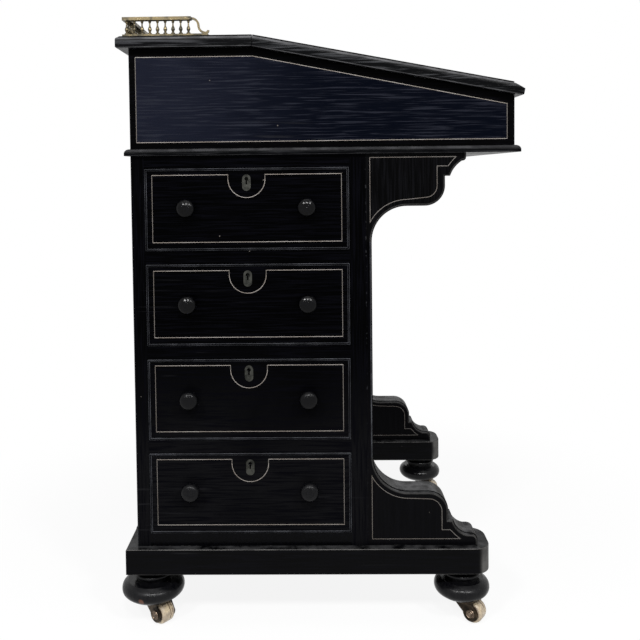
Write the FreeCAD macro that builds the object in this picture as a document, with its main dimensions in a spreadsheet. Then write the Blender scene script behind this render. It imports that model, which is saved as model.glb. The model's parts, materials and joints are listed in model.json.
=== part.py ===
import FreeCAD, Part
import math
import os
import re
import Sketcher
from FreeCAD import Placement, Rotation, Vector

# Davenport desk. +X is the sitter's side, -Y the side with the drawers, +Z up.
# The origin lies on the floor, under the middle of the desk's plan.

DRAWER_COUNT = 4
SIDE_BALUSTERS = 8
KNUCKLES = 5
UPPER_DIVIDERS = 3
LOWER_DIVIDERS = 1

# Driving dimensions in millimetres and degrees: alias, value, meaning.
SIZES = (
    ("fit_gap", 0.3, "gap between faces that pass each other"),
    ("running_gap", 0.05, "radial gap of a pin or axle in its bore"),
    ("cut_overrun", 3, "how far a cutting shape runs past the face it opens"),
    # casters
    ("wheel_diameter", 30.5, "porcelain wheel"),
    ("wheel_width", 22, "porcelain wheel across its tread"),
    ("wheel_round", 5, "rounding of the wheel's rims"),
    ("axle_diameter", 5, "axle of the wheel"),
    ("caster_height", 36.5, "floor to the underside of the foot"),
    ("caster_trail", 20, "pivot to axle"),
    ("caster_plate_diameter", 38, "plate under the foot"),
    ("caster_plate_thickness", 2.5, "plate under the foot"),
    ("pivot_diameter", 8, "pivot pin of the caster"),
    ("hub_diameter", 15, "hub of the fork round the pivot pin"),
    ("hub_height", 8, "hub of the fork"),
    ("fork_thickness", 2.4, "crown and cheeks of the fork"),
    ("fork_side_gap", 0.6, "cheek to wheel"),
    ("axle_boss_diameter", 22, "rounded end of each cheek"),
    ("swivel_front_left", -35, "how far the caster has swung from trailing to the front"),
    ("swivel_rear_left", -40, "the same, rear left"),
    ("swivel_front_right", -20, "the same, front right"),
    ("swivel_rear_right", 15, "the same, rear right"),
    # feet
    ("foot_height", 43.5, "underside of the foot to the plinth"),
    ("bun_height", 24, "round part of the foot"),
    ("front_bun_diameter", 80, "front feet"),
    ("rear_bun_diameter", 91, "rear feet"),
    ("bun_nose_radius", 11, "roundness of the bun at its widest"),
    ("bun_flank_angle", 55, "where the bun's nose runs into its flanks"),
    ("neck_diameter", 46, "waist above the bun"),
    ("collar_diameter", 55, "ring above the waist"),
    ("waist_height", 5, "waist above the bun"),
    ("collar_height", 6, "ring above the waist"),
    ("foot_tenon_diameter", 26, "dowel that holds the foot in the plinth"),
    ("foot_tenon_length", 24, "dowel that holds the foot in the plinth"),
    ("front_foot_setback", 36.6, "foot centre to the front end of its arm"),
    ("rear_foot_setback", 17.2, "foot centre to the carcass back"),
    # plinth
    ("plinth_height", 37, "plinth"),
    ("plinth_projection", 12, "plinth past the carcass sides"),
    ("plinth_back_projection", 15, "plinth past the carcass back"),
    ("arm_width", 72, "each arm of the plinth"),
    ("arm_length", 521, "each arm of the plinth"),
    ("arm_corner_radius", 24, "front corners of the arms"),
    ("plinth_round", 1.5, "worn edges of the arms"),
    ("back_rail_depth", 60, "cross rail under the carcass back"),
    ("front_rail_depth", 62, "cross rail under the carcass front"),
    ("front_rail_projection", 6, "front cross rail past the pilasters"),
    # carcass
    ("arris_round", 1.5, "worn upright edges of carcass and box"),
    ("back_panel_thickness", 19, "back panel"),
    ("front_panel_thickness", 23, "front panel"),
    ("right_panel_thickness", 24, "blind side"),
    ("bottom_board_thickness", 18.6, "carcass bottom"),
    ("drawer_opening_width", 290, "between back and front panels"),
    ("drawer_opening_height", 117.5, "each opening"),
    ("rail_height", 18.3, "rail between two drawers"),
    ("top_rail_height", 17.8, "rail over the top drawer"),
    ("rail_depth", 62, "rails, from the left face inwards"),
    ("runner_width", 24, "runner under each drawer side"),
    ("pilaster_thickness", 8.4, "strip on the carcass front"),
    # drawers
    ("drawer_gap", 0.6, "drawer front to its opening"),
    ("drawer_front_thickness", 20, "drawer front"),
    ("bead_width", 3.2, "cock bead round the drawer front"),
    ("bead_projection", 2, "cock bead past the face"),
    ("bead_round", 1.3, "rounding of the bead"),
    ("drawer_length", 436, "drawer sides; the carcass is as wide as they need"),
    ("drawer_back_gap", 20, "drawer back to the blind side"),
    ("drawer_side_thickness", 10, "drawer sides"),
    ("drawer_side_height", 106, "drawer sides"),
    ("drawer_back_thickness", 10, "drawer back"),
    ("drawer_bottom_thickness", 6, "drawer bottom"),
    ("drawer_bottom_raise", 8, "drawer bottom above the lower edge of the sides"),
    ("false_front_thickness", 8, "false drawer front on the blind side"),
    # knobs
    ("knob_diameter", 27, "knob at its widest"),
    ("knob_projection", 24.5, "knob past the drawer face"),
    ("knob_nose_radius", 8, "roundness of the knob at its widest"),
    ("knob_dome_angle", 60, "where the knob's side runs into its dome"),
    ("knob_flange_diameter", 20, "ring against the drawer face"),
    ("knob_flange_height", 3, "ring against the drawer face"),
    ("knob_tenon_diameter", 9, "dowel of the knob"),
    ("knob_tenon_length", 20, "dowel of the knob"),
    ("knob_inset", 60.4, "knob centre to the side of the opening"),
    ("knob_drop", 56.2, "knob centre below the top of the opening"),
    ("lowest_knob_drop", 52, "the same, lowest drawer"),
    # locks
    ("lock_width", 46, "lock case"),
    ("lock_height", 30, "lock case"),
    ("lock_depth", 12, "lock case"),
    ("bolt_width", 24, "lock bolt"),
    ("bolt_height", 11, "lock bolt"),
    ("bolt_thickness", 6, "lock bolt"),
    ("bolt_throw", 8, "how far the bolt slides"),
    ("keyhole_drop", 15.5, "keyhole below the edge that holds the lock"),
    ("keyhole_diameter", 5.6, "round part of the keyhole"),
    ("keyhole_slot_width", 2.2, "slot of the keyhole"),
    ("keyhole_slot_length", 7.5, "slot below the middle of the round part"),
    ("keyhole_depth", 5, "keyhole into the lock case"),
    ("escutcheon_width", 12, "plate round the keyhole"),
    ("escutcheon_height", 23, "plate round the keyhole"),
    ("escutcheon_thickness", 1.2, "plate round the keyhole"),
    ("escutcheon_drop", 5.2, "middle of the plate below the middle of the keyhole's round part"),
    # scrolled brackets
    ("bracket_thickness", 47, "brackets and pilasters along Y"),
    ("bracket_bead", 6, "beaded layer on each face of a bracket"),
    ("bracket_quirk", 1.4, "step between the bead and the edge of a bracket"),
    ("bracket_round", 3, "rounding of the bead along a bracket"),
    ("notch_step", 7.2, "step between hollow and bulge"),
    ("bulge_rise", 13.4, "straight part under the bulge"),
    ("bulge_radius", 28.5, "swell of a bracket"),
    ("throat_radius", 50, "hollow that runs into the pilaster"),
    ("upper_tip_reach", 133.8, "pilaster face to the tip, upper bracket"),
    ("upper_tip_height", 6.5, "upright edge of the tip, upper bracket"),
    ("upper_notch_height", 32.6, "mounting face to the step, upper bracket"),
    ("upper_bulge_reach", 104, "pilaster face to the bulge, upper bracket"),
    ("upper_cove_radius", 40, "hollow between tip and step, upper bracket"),
    ("upper_cove_lean", 18.6, "how far the hollow leans out at the step, upper bracket"),
    ("upper_cove_sweep", 39.6, "how far the hollow turns, upper bracket"),
    ("lower_tip_reach", 148.6, "pilaster face to the tip, lower bracket"),
    ("lower_tip_height", 6.2, "upright edge of the tip, lower bracket"),
    ("lower_notch_height", 35.5, "mounting face to the step, lower bracket"),
    ("lower_bulge_reach", 107, "pilaster face to the bulge, lower bracket"),
    ("lower_cove_radius", 24.7, "hollow between tip and step, lower bracket"),
    ("lower_cove_lean", 11, "how far the hollow leans out at the step, lower bracket"),
    ("lower_cove_sweep", 68, "how far the hollow turns, lower bracket"),
    # writing box
    ("box_board_thickness", 9.7, "moulded bottom board"),
    ("box_board_projection", 7.3, "bottom board past the box"),
    ("box_board_round", 6.4, "upper rounding of the bottom board"),
    ("box_board_under", 1, "lower rounding of the bottom board"),
    ("box_depth", 541, "writing box, back to front"),
    ("box_wall", 19, "sides, back and front of the box"),
    ("box_back_height", 140.5, "box floor to the flat top"),
    ("top_thickness", 17, "flat top and lid"),
    ("top_overhang", 15, "flat top and lid past the box sides and back"),
    ("flat_top_depth", 175, "carcass back to the hinge line"),
    ("edge_width", 7.5, "moulded edge of flat top and lid"),
    ("edge_lip", 2, "upright step at the top of the moulded edge"),
    ("edge_round", 6, "round of the moulded edge"),
    ("edge_under", 2, "lower rounding of the moulded edge"),
    ("lid_slope", 10.85, "slope of the lid"),
    ("lid_length", 385.2, "hinge line to the front of the lid along the slope"),
    ("lid_front_bevel", 15, "bevel along the front of the lid"),
    ("lid_joint_gap", 1, "flat top to lid"),
    ("leather_margin", 48, "border of the lid round the leather"),
    ("leather_thickness", 1.2, "leather let into the lid"),
    # hinges
    ("hinge_length", 50, "each hinge along Y"),
    ("hinge_spread", 330, "between the middles of the two hinges"),
    ("barrel_diameter", 6, "knuckles of the hinge"),
    ("hinge_pin_diameter", 3, "pin of the hinge"),
    ("leaf_thickness", 1.5, "leaf of the hinge"),
    ("leaf_height", 11, "leaf below the knuckles"),
    ("barrel_room", 0.5, "hollow in the boards round the knuckles"),
    # stationery nest
    ("nest_depth", 138, "nest from the back of the box"),
    ("nest_shelf_height", 60, "box floor to the shelf"),
    ("nest_board", 8, "shelf and dividers"),
    # gallery
    ("gallery_inset", 14, "baluster row to the edge of the flat top"),
    ("gallery_height", 26.5, "flat top to the top of the gallery"),
    ("gallery_strip_width", 11, "base strips and top rails"),
    ("gallery_base_thickness", 2.5, "base strips"),
    ("gallery_rail_thickness", 4.5, "top rails"),
    ("gallery_pitch", 10.85, "between side balusters"),
    ("baluster_diameter", 5.8, "baluster at its widest"),
    ("scroll_thickness", 4, "scrolled end across"),
    ("scroll_band", 3, "scrolled end along the curve's normal"),
    ("scroll_curl_radius", 3.5, "curl at the foot of the scroll"),
    ("rail_end_overhang", 4, "top rail past the last baluster"),
)

# Places worked out from the sizes. Each is a formula in the names above and below.
PLACES = {
    "rear_reach": "rear_bun_diameter/2 - rear_foot_setback",
    "front_reach": "flat_top_depth + lid_length*cos(lid_slope) - (edge_lip + edge_round)*sin(lid_slope)",
    "case_back": "(rear_reach - front_reach)/2",
    "opening_back": "case_back + back_panel_thickness",
    "opening_front": "opening_back + drawer_opening_width",
    "opening_middle": "opening_back + drawer_opening_width/2",
    "case_front": "opening_front + front_panel_thickness",
    "pilaster_face": "case_front + pilaster_thickness",
    "drawer_reach": "drawer_front_thickness + drawer_length + drawer_back_gap",
    "carcass_width": "drawer_reach + right_panel_thickness",
    "left_face": "-carcass_width/2",
    "right_face": "carcass_width/2",
    "blind_inside": "right_face - right_panel_thickness",
    "plinth_bottom": "caster_height + foot_height",
    "plinth_top": "plinth_bottom + plinth_height",
    "arm_back": "case_back - plinth_back_projection",
    "arm_inside": "carcass_width/2 + plinth_projection - arm_width",
    "arm_middle": "arm_inside + arm_width/2",
    "front_foot_x": "arm_back + arm_length - front_foot_setback",
    "rear_foot_x": "case_back + rear_foot_setback",
    "drawer_pitch": "drawer_opening_height + rail_height",
    "first_opening": "plinth_top + bottom_board_thickness",
    "openings_top": f"first_opening + {DRAWER_COUNT}*drawer_pitch - rail_height",
    "carcass_top": "openings_top + top_rail_height",
    "drawer_back_of_front": "left_face + drawer_front_thickness",
    "box_floor": "carcass_top + box_board_thickness",
    "top_underside": "box_floor + box_back_height",
    "top_face": "top_underside + top_thickness",
    "box_front_x": "case_back + box_depth",
    "box_inside": "carcass_width/2 - box_wall",
    "top_half_width": "carcass_width/2 + top_overhang",
    "hinge_x": "case_back + flat_top_depth",
    "slope_drop": "(top_thickness + fit_gap)/cos(lid_slope) - top_thickness",
    "lid_lock_top": "top_underside - slope_drop - (box_depth - flat_top_depth)*tan(lid_slope)",
    "gallery_back": "case_back - top_overhang + gallery_inset",
    "gallery_side": "top_half_width - gallery_inset",
    "gallery_top": "top_face + gallery_height",
    "rail_bottom": "gallery_top - gallery_rail_thickness",
    "base_top": "top_face + gallery_base_thickness",
    "rail_end": f"gallery_back + {SIDE_BALUSTERS}*gallery_pitch + rail_end_overhang",
    "rail_middle": "gallery_top - gallery_rail_thickness/2",
    "scroll_radius": "(rail_middle - base_top - scroll_band/2)/2",
    "base_end": "rail_end + 2*scroll_radius + scroll_curl_radius",
    "fork_top": "caster_height - caster_plate_thickness - fit_gap",
    "cheek_inside": "wheel_width/2 + fork_side_gap",
    "cheek_outside": "cheek_inside + fork_thickness",
}

# Turned profile of a gallery baluster: share of its height, share of its greatest radius.
BALUSTER_SHARES = (
    (0, 1), (0.1, 1), (0.15, 0.5), (0.22, 0.6), (0.36, 0.95), (0.46, 0.8), (0.6, 0.4),
    (0.8, 0.34), (0.85, 0.62), (0.91, 0.62), (0.94, 0.8), (1, 0.8),
)

CORNERS = {
    "front_left": ("front_foot_x", "-arm_middle", "front_bun_diameter"),
    "rear_left": ("rear_foot_x", "-arm_middle", "rear_bun_diameter"),
    "front_right": ("front_foot_x", "arm_middle", "front_bun_diameter"),
    "rear_right": ("rear_foot_x", "arm_middle", "rear_bun_diameter"),
}

ALIASES = {alias for alias, size, meaning in SIZES}

doc = FreeCAD.newDocument("davenport")
sheet = doc.addObject("Spreadsheet::Sheet", "Sizes")
for row, (alias, size, meaning) in enumerate(SIZES, start=1):
    sheet.set(f"A{row}", alias)
    sheet.set(f"B{row}", str(size))
    sheet.set(f"C{row}", meaning)
    sheet.setAlias(f"B{row}", alias)
doc.recompute()

nodes = []


def formula(text):
    def expand(match):
        word = match.group(0)
        if word in PLACES:
            return "(" + formula(PLACES[word]) + ")"
        return "Sizes." + word if word in ALIASES else word

    return re.sub("[a-z_]+", expand, text)


def value(text):
    return float(sheet.evalExpression(formula(text)))


def bind(item, **formulas):
    for prop, text in formulas.items():
        item.setExpression(prop, formula(text))


def place(item, x="0", y="0", z="0", axis=None, angle="0"):
    if axis:
        item.Placement = Placement(Vector(), Rotation(Vector(*axis), 90))
        item.setExpression("Placement.Rotation.Angle", formula(angle))
    for name, text in zip("xyz", (x, y, z)):
        item.setExpression(f"Placement.Base.{name}", formula(text))


def node(item):
    nodes.append(item)
    return item


# Plain shapes

def board(name, x, y, z):
    item = doc.addObject("Part::Box", name)
    spans = [f"({high}) - ({low})" for low, high in (x, y, z)]
    bind(item, Length=spans[0], Width=spans[1], Height=spans[2])
    place(item, x[0], y[0], z[0])
    return item


def rod(name, along, x, y, z, diameter, length):
    item = doc.addObject("Part::Cylinder", name)
    bind(item, Radius=f"({diameter})/2", Height=length)
    axis, angle = {"x": ((0, 1, 0), "90"), "y": ((1, 0, 0), "-90"), "z": (None, "0")}[along]
    place(item, x, y, z, axis, angle)
    return item


def group(name, items):
    item = doc.addObject("Part::Compound", name)
    item.Links = items
    return item


def cut(name, base, tools):
    item = doc.addObject("Part::Cut", name)
    item.Base = base
    item.Tool = tools[0] if len(tools) == 1 else group(f"{name}_tools", tools)
    return item


def fuse(name, items):
    item = doc.addObject("Part::MultiFuse", name)
    item.Shapes = items
    item.Refine = True
    return item


def copy(name, master, x, y, z, axis=None, angle="0"):
    item = doc.addObject("App::Link", name)
    item.LinkedObject = master
    item.LinkTransform = False
    place(item, x, y, z, axis, angle)
    return item


# Sketched shapes. A path is a closed run of corners: (x, y) ends a straight stretch, and
# (x, y, centre x, centre y) ends an arc of under half a turn. The first corner is the start,
# and the stretch back to it is straight.

def new_body(name):
    return doc.addObject("PartDesign::Body", name)


def outline(body, plane, name, *paths):
    sketch = body.newObject("Sketcher::SketchObject", name)
    support = next(item for item in body.Origin.OriginFeatures if item.Role == plane)
    sketch.AttachmentSupport = (support, [""])
    sketch.MapMode = "FlatFace"
    for path in paths:
        draw(sketch, path)
    return sketch


def spot(corner):
    return Vector(value(corner[0]), value(corner[1]))


def draw(sketch, path):
    first = sketch.GeometryCount
    follows = path[1:] + path[:1]
    shapes = []
    ends = []
    for corner, after in zip(path, follows):
        start, end = spot(corner), spot(after)
        if len(after) == 2:
            shapes.append(Part.LineSegment(start, end))
            ends.append((1, 2))
            continue
        middle = spot(after[2:])
        leftward = (start - middle).cross(end - middle).z > 0
        arms = [start - middle, end - middle] if leftward else [end - middle, start - middle]
        angles = [math.atan2(arm.y, arm.x) for arm in arms]
        circle = Part.Circle(middle, Vector(0, 0, 1), arms[0].Length)
        shapes.append(Part.ArcOfCircle(circle, *angles))
        ends.append((1, 2) if leftward else (2, 1))
    sketch.addGeometry(shapes, False)
    for number in range(len(path)):
        after = (number + 1) % len(path)
        link = ("Coincident", first + number, ends[number][1], first + after, ends[after][0])
        sketch.addConstraint(Sketcher.Constraint(*link))
    fix(sketch, first, ends[0][0], path[0])
    for number, corner in enumerate(path[1:]):
        end = ends[number][1]
        if len(corner) == 2:
            fix(sketch, first + number, end, corner)
            continue
        fix(sketch, first + number, 3, corner[2:])
        arm = spot(corner) - spot(corner[2:])
        fix(sketch, first + number, end, corner, "x" if abs(arm.y) > abs(arm.x) else "y")


def fix(sketch, shape, end, corner, directions="xy"):
    for direction in directions:
        text = corner["xy".index(direction)]
        rule = Sketcher.Constraint("Distance" + direction.upper(), shape, end, value(text))
        number = sketch.addConstraint(rule)
        sketch.setExpression(f"Constraints[{number}]", formula(text))


def rectangle(x, y):
    return ((x[0], y[0]), (x[1], y[0]), (x[1], y[1]), (x[0], y[1]))


def pad(body, sketch, length, backwards=False):
    feature = body.newObject("PartDesign::Pad", f"{sketch.Name}_pad")
    feature.Profile = sketch
    feature.Reversed = backwards
    bind(feature, Length=length)
    return feature


def turn(body, sketch, axis="V_Axis"):
    feature = body.newObject("PartDesign::Revolution", f"{sketch.Name}_turn")
    feature.Profile = sketch
    feature.ReferenceAxis = (sketch, [axis])
    feature.Angle = 360
    return feature


def lies(edge, axis, *levels):
    places = [value(level) for level in levels]
    near = value("fit_gap")
    return any(all(abs(getattr(vertex, axis) - level) < near for vertex in edge.Vertexes) for level in places)


def round_edges(body, feature, radius, chosen):
    doc.recompute()
    edges = [f"Edge{number}" for number, edge in enumerate(feature.Shape.Edges, start=1) if chosen(edge)]
    fillet = body.newObject("PartDesign::Fillet", f"{feature.Name}_round")
    fillet.Base = (feature, edges)
    bind(fillet, Radius=radius)
    return fillet


# Moulded boards: two prisms with moulded ends, crossed, so that the mouldings meet in mitres.

def stepped_edge_down(nose, top, bottom):
    shoulder = f"{top} - edge_lip - edge_round"
    return (
        (f"{nose} - edge_width", top),
        (f"{nose} - edge_width", f"{top} - edge_lip"),
        (f"{nose} - edge_round", f"{top} - edge_lip"),
        (nose, shoulder, f"{nose} - edge_round", shoulder),
        (nose, f"{bottom} + edge_under"),
        (f"{nose} - edge_under", bottom, f"{nose} - edge_under", f"{bottom} + edge_under"),
    )


def stepped_edge_up(nose, top, bottom):
    shoulder = f"{top} - edge_lip - edge_round"
    return (
        (f"{nose} + edge_under", bottom),
        (nose, f"{bottom} + edge_under", f"{nose} + edge_under", f"{bottom} + edge_under"),
        (nose, shoulder),
        (f"{nose} + edge_round", f"{top} - edge_lip", f"{nose} + edge_round", shoulder),
        (f"{nose} + edge_width", f"{top} - edge_lip"),
    )


def stepped_section(low, high, top, bottom):
    start = ((f"{low} + edge_width", top),)
    return start + stepped_edge_down(high, top, bottom) + stepped_edge_up(low, top, bottom)


def thumb_section(low, high, top, bottom):
    upper, under = "box_board_round", "box_board_under"
    return (
        (f"({low} + {high})/2", bottom),
        (f"{low} + {under}", bottom),
        (low, f"{bottom} + {under}", f"{low} + {under}", f"{bottom} + {under}"),
        (low, f"{top} - {upper}"),
        (f"{low} + {upper}", top, f"{low} + {upper}", f"{top} - {upper}"),
        (f"{high} - {upper}", top),
        (high, f"{top} - {upper}", f"{high} - {upper}", f"{top} - {upper}"),
        (high, f"{bottom} + {under}"),
        (f"{high} - {under}", bottom, f"{high} - {under}", f"{bottom} + {under}"),
    )


def crossed(name, along, across, span, half_width, x="0", z="0", slope="0"):
    start, end = span
    tilt = {"axis": (0, 1, 0), "angle": slope}
    lengthwise = new_body(f"{name}_lengthwise")
    side_view = outline(lengthwise, "XZ_Plane", f"{name}_side_view", along)
    pad(lengthwise, side_view, f"2*({half_width} + cut_overrun)")
    place(lengthwise, x, f"{half_width} + cut_overrun", z, **tilt)
    crosswise = new_body(f"{name}_crosswise")
    end_view = outline(crosswise, "YZ_Plane", f"{name}_end_view", across)
    pad(crosswise, end_view, f"({end}) - ({start}) + 2*cut_overrun")
    first = f"({start} - cut_overrun)"
    place(crosswise, f"{x} + {first}*cos({slope})", "0", f"{z} - {first}*sin({slope})", **tilt)
    item = doc.addObject("Part::MultiCommon", name)
    item.Shapes = [lengthwise, crosswise]
    return item


# Masters that are copied

def make_knob():
    body = new_body("knob")
    radius, nose = "knob_diameter/2", "knob_nose_radius"
    core = f"({radius} - {nose})"
    dome_radius = f"({core}/cos(knob_dome_angle) + {nose})"
    dome_middle = f"(knob_projection - {dome_radius})"
    level = f"({dome_middle} + {core}*tan(knob_dome_angle))"
    turn(body, outline(body, "XZ_Plane", "knob_profile", (
        ("0", "-knob_tenon_length"),
        ("knob_tenon_diameter/2", "-knob_tenon_length"),
        ("knob_tenon_diameter/2", "0"),
        ("knob_flange_diameter/2", "0"),
        ("knob_flange_diameter/2", "knob_flange_height"),
        (core, "knob_flange_height"),
        (core, f"{level} - {nose}"),
        (radius, level, core, level),
        (f"{core} + {nose}*cos(knob_dome_angle)", f"{level} + {nose}*sin(knob_dome_angle)", core, level),
        ("0", "knob_projection", "0", dome_middle),
    )))
    return body


def keyhole(name, along, x, y, z, length):
    half = "keyhole_slot_width/2"
    slot_x, slot_y = (f"{x} - {half}", f"{x} + {half}"), (y, f"{y} + {length}")
    if along == "x":
        slot_x, slot_y = (x, f"{x} + {length}"), (f"{y} - {half}", f"{y} + {half}")
    slot = board(f"{name}_slot", slot_x, slot_y, (f"{z} - keyhole_slot_length", z))
    eye = rod(f"{name}_eye", along, x, y, z, "keyhole_diameter", length)
    return fuse(f"{name}_keyhole", [eye, slot])


def make_escutcheon():
    body = new_body("escutcheon_plate")
    half, straight = "escutcheon_width/2", "(escutcheon_height - escutcheon_width)/2"
    high, low = f"({straight} - escutcheon_drop)", f"(-{straight} - escutcheon_drop)"
    pad(body, outline(body, "XZ_Plane", "escutcheon_profile", (
        (half, "-escutcheon_drop"),
        (half, high),
        ("0", "escutcheon_height/2 - escutcheon_drop", "0", high),
        (f"-{half}", high, "0", high),
        (f"-{half}", low),
        ("0", "-escutcheon_height/2 - escutcheon_drop", "0", low),
        (half, low, "0", low),
    )), "escutcheon_thickness")
    through = "(escutcheon_thickness + 2*cut_overrun)"
    hole = keyhole("escutcheon", "y", "0", "-escutcheon_thickness - cut_overrun", "0", through)
    return cut("escutcheon", body, [hole])


def make_fork():
    hub, axle, boss = "hub_diameter/2", "wheel_diameter/2", "axle_boss_diameter/2"
    crown = board("fork_crown", (f"-{hub}", "caster_trail"), ("-cheek_outside", "cheek_outside"),
                  ("fork_top - fork_thickness", "fork_top"))
    pieces = [crown, rod("fork_hub", "z", "0", "0", "fork_top - hub_height", "hub_diameter", "hub_height")]
    for side, right_face_y in (("left", "-cheek_inside"), ("right", "cheek_outside")):
        cheek = new_body(f"fork_{side}_cheek")
        pad(cheek, outline(cheek, "XZ_Plane", f"fork_{side}_outline", (
            (f"-{hub}", "fork_top"),
            ("caster_trail", "fork_top"),
            (f"caster_trail + {boss}", axle),
            ("caster_trail", f"{axle} - {boss}", "caster_trail", axle),
            (f"caster_trail - {boss}", axle, "caster_trail", axle),
            (f"-{hub}", "fork_top - fork_thickness"),
        )), "fork_thickness")
        place(cheek, y=right_face_y)
        pieces.append(cheek)
    pieces.append(rod("fork_axle", "y", "caster_trail", "-cheek_outside", axle,
                      "axle_diameter", "2*cheek_outside"))
    bore = rod("fork_bore", "z", "0", "0", "fork_top - hub_height - cut_overrun",
               "pivot_diameter + 2*running_gap", "hub_height + 2*cut_overrun")
    return cut("fork", fuse("fork_blank", pieces), [bore])


def make_wheel():
    body = new_body("wheel")
    half, radius, bore = "wheel_width/2", "wheel_diameter/2", "(axle_diameter/2 + running_gap)"
    turn(body, outline(body, "YZ_Plane", "wheel_profile", (
        (f"-{half}", bore),
        (half, bore),
        (half, f"{radius} - wheel_round"),
        (f"{half} - wheel_round", radius, f"{half} - wheel_round", f"{radius} - wheel_round"),
        (f"-{half} + wheel_round", radius),
        (f"-{half}", f"{radius} - wheel_round", f"-{half} + wheel_round", f"{radius} - wheel_round"),
    )), "H_Axis")
    return body


def make_foot(name, diameter):
    body = new_body(name)
    level, nose, waist = "bun_height/2", "bun_nose_radius", "neck_diameter/2"
    core = f"({diameter}/2 - {nose})"
    flank_x = f"({core} + {nose}*cos(bun_flank_angle))"
    flank_rise = f"({nose}*sin(bun_flank_angle))"
    sole = f"({flank_x} - ({level} - {flank_rise})*tan(bun_flank_angle))"
    collar_low = "(bun_height + waist_height)"
    collar_high = f"({collar_low} + collar_height)"
    ring = "(collar_diameter/2 - collar_height/2)"
    ring_level = f"({collar_low} + collar_height/2)"
    turn(body, outline(body, "XZ_Plane", f"{name}_profile", (
        ("0", "0"),
        (sole, "0"),
        (flank_x, f"{level} - {flank_rise}"),
        (f"{diameter}/2", level, core, level),
        (flank_x, f"{level} + {flank_rise}", core, level),
        (sole, "bun_height"),
        (waist, "bun_height"),
        (waist, collar_low),
        (ring, collar_low),
        ("collar_diameter/2", ring_level, ring, ring_level),
        (ring, collar_high, ring, ring_level),
        (waist, collar_high),
        ("collar_diameter/2", "foot_height"),
        ("foot_tenon_diameter/2", "foot_height"),
        ("foot_tenon_diameter/2", "foot_height + foot_tenon_length"),
        ("0", "foot_height + foot_tenon_length"),
    )))
    return body


def make_baluster():
    body = new_body("baluster")
    corners = [("0", "0")]
    for height_share, radius_share in BALUSTER_SHARES:
        corners.append((f"{radius_share}*baluster_diameter/2", f"{height_share}*(rail_bottom - base_top)"))
    corners.append(("0", "rail_bottom - base_top"))
    turn(body, outline(body, "XZ_Plane", "baluster_profile", tuple(corners)))
    return body


# Sub-parts

def build_casters():
    fork, wheel = make_fork(), make_wheel()
    plates = []
    for corner, (x, y, bun) in CORNERS.items():
        swivel = f"swivel_{corner}"
        plate = rod(f"{corner}_plate", "z", x, y, "caster_height - caster_plate_thickness",
                    "caster_plate_diameter", "caster_plate_thickness")
        pin_low = "fork_top - hub_height"
        pin = rod(f"{corner}_pin", "z", x, y, pin_low, "pivot_diameter", f"caster_height - ({pin_low})")
        plates.append(fuse(f"{corner}_plate_and_pin", [plate, pin]))
        fork_copy = copy(f"{corner}_fork_copy", fork, x, y, "0", (0, 0, 1), swivel)
        node(group(f"{corner}_caster_fork", [fork_copy]))
        wheel_copy = copy(f"{corner}_wheel_copy", wheel, f"{x} + caster_trail*cos({swivel})",
                          f"{y} + caster_trail*sin({swivel})", "wheel_diameter/2", (0, 0, 1), swivel)
        node(group(f"{corner}_caster_wheel", [wheel_copy]))
    node(group("caster_plates", plates))


def build_feet_and_plinth():
    feet = {bun: make_foot(f"{bun.split('_')[0]}_foot", bun) for x, y, bun in CORNERS.values()}
    copies = [copy(f"{corner}_foot_copy", feet[bun], x, y, "caster_height")
              for corner, (x, y, bun) in CORNERS.items()]
    node(group("bun_feet", copies))
    radius = "arm_corner_radius"
    for side, low in (("left", "-arm_inside - arm_width"), ("right", "arm_inside")):
        arm = new_body(f"{side}_arm")
        block = pad(arm, outline(arm, "XY_Plane", f"{side}_arm_plan", (
            ("0", "0"),
            (f"arm_length - {radius}", "0"),
            ("arm_length", radius, f"arm_length - {radius}", radius),
            ("arm_length", f"arm_width - {radius}"),
            (f"arm_length - {radius}", "arm_width", f"arm_length - {radius}", f"arm_width - {radius}"),
            ("0", "arm_width"),
        )), "plinth_height")
        round_edges(arm, block, "plinth_round", lambda edge: lies(edge, "Z", "0", "plinth_height"))
        place(arm, "arm_back", low, "plinth_bottom")
        sockets = [rod(f"{corner}_socket", "z", x, y, "plinth_bottom - cut_overrun",
                       "foot_tenon_diameter + 2*running_gap", "foot_tenon_length + fit_gap + cut_overrun")
                   for corner, (x, y, bun) in CORNERS.items() if corner.endswith(side)]
        node(cut(f"plinth_{side}_arm", arm, sockets))
    between, height = ("-arm_inside", "arm_inside"), ("plinth_bottom", "plinth_top")
    front = "pilaster_face + front_rail_projection"
    node(group("plinth_cross_rails", [
        board("plinth_back_rail", ("arm_back", "arm_back + back_rail_depth"), between, height),
        board("plinth_front_rail", (f"{front} - front_rail_depth", front), between, height),
    ]))


def bolt_span(middle, size, room="0"):
    return (f"{middle} - {size}/2 - {room}", f"{middle} + {size}/2 + {room}")


def opening_low(level):
    return f"(first_opening + {level}*drawer_pitch)"


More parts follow.
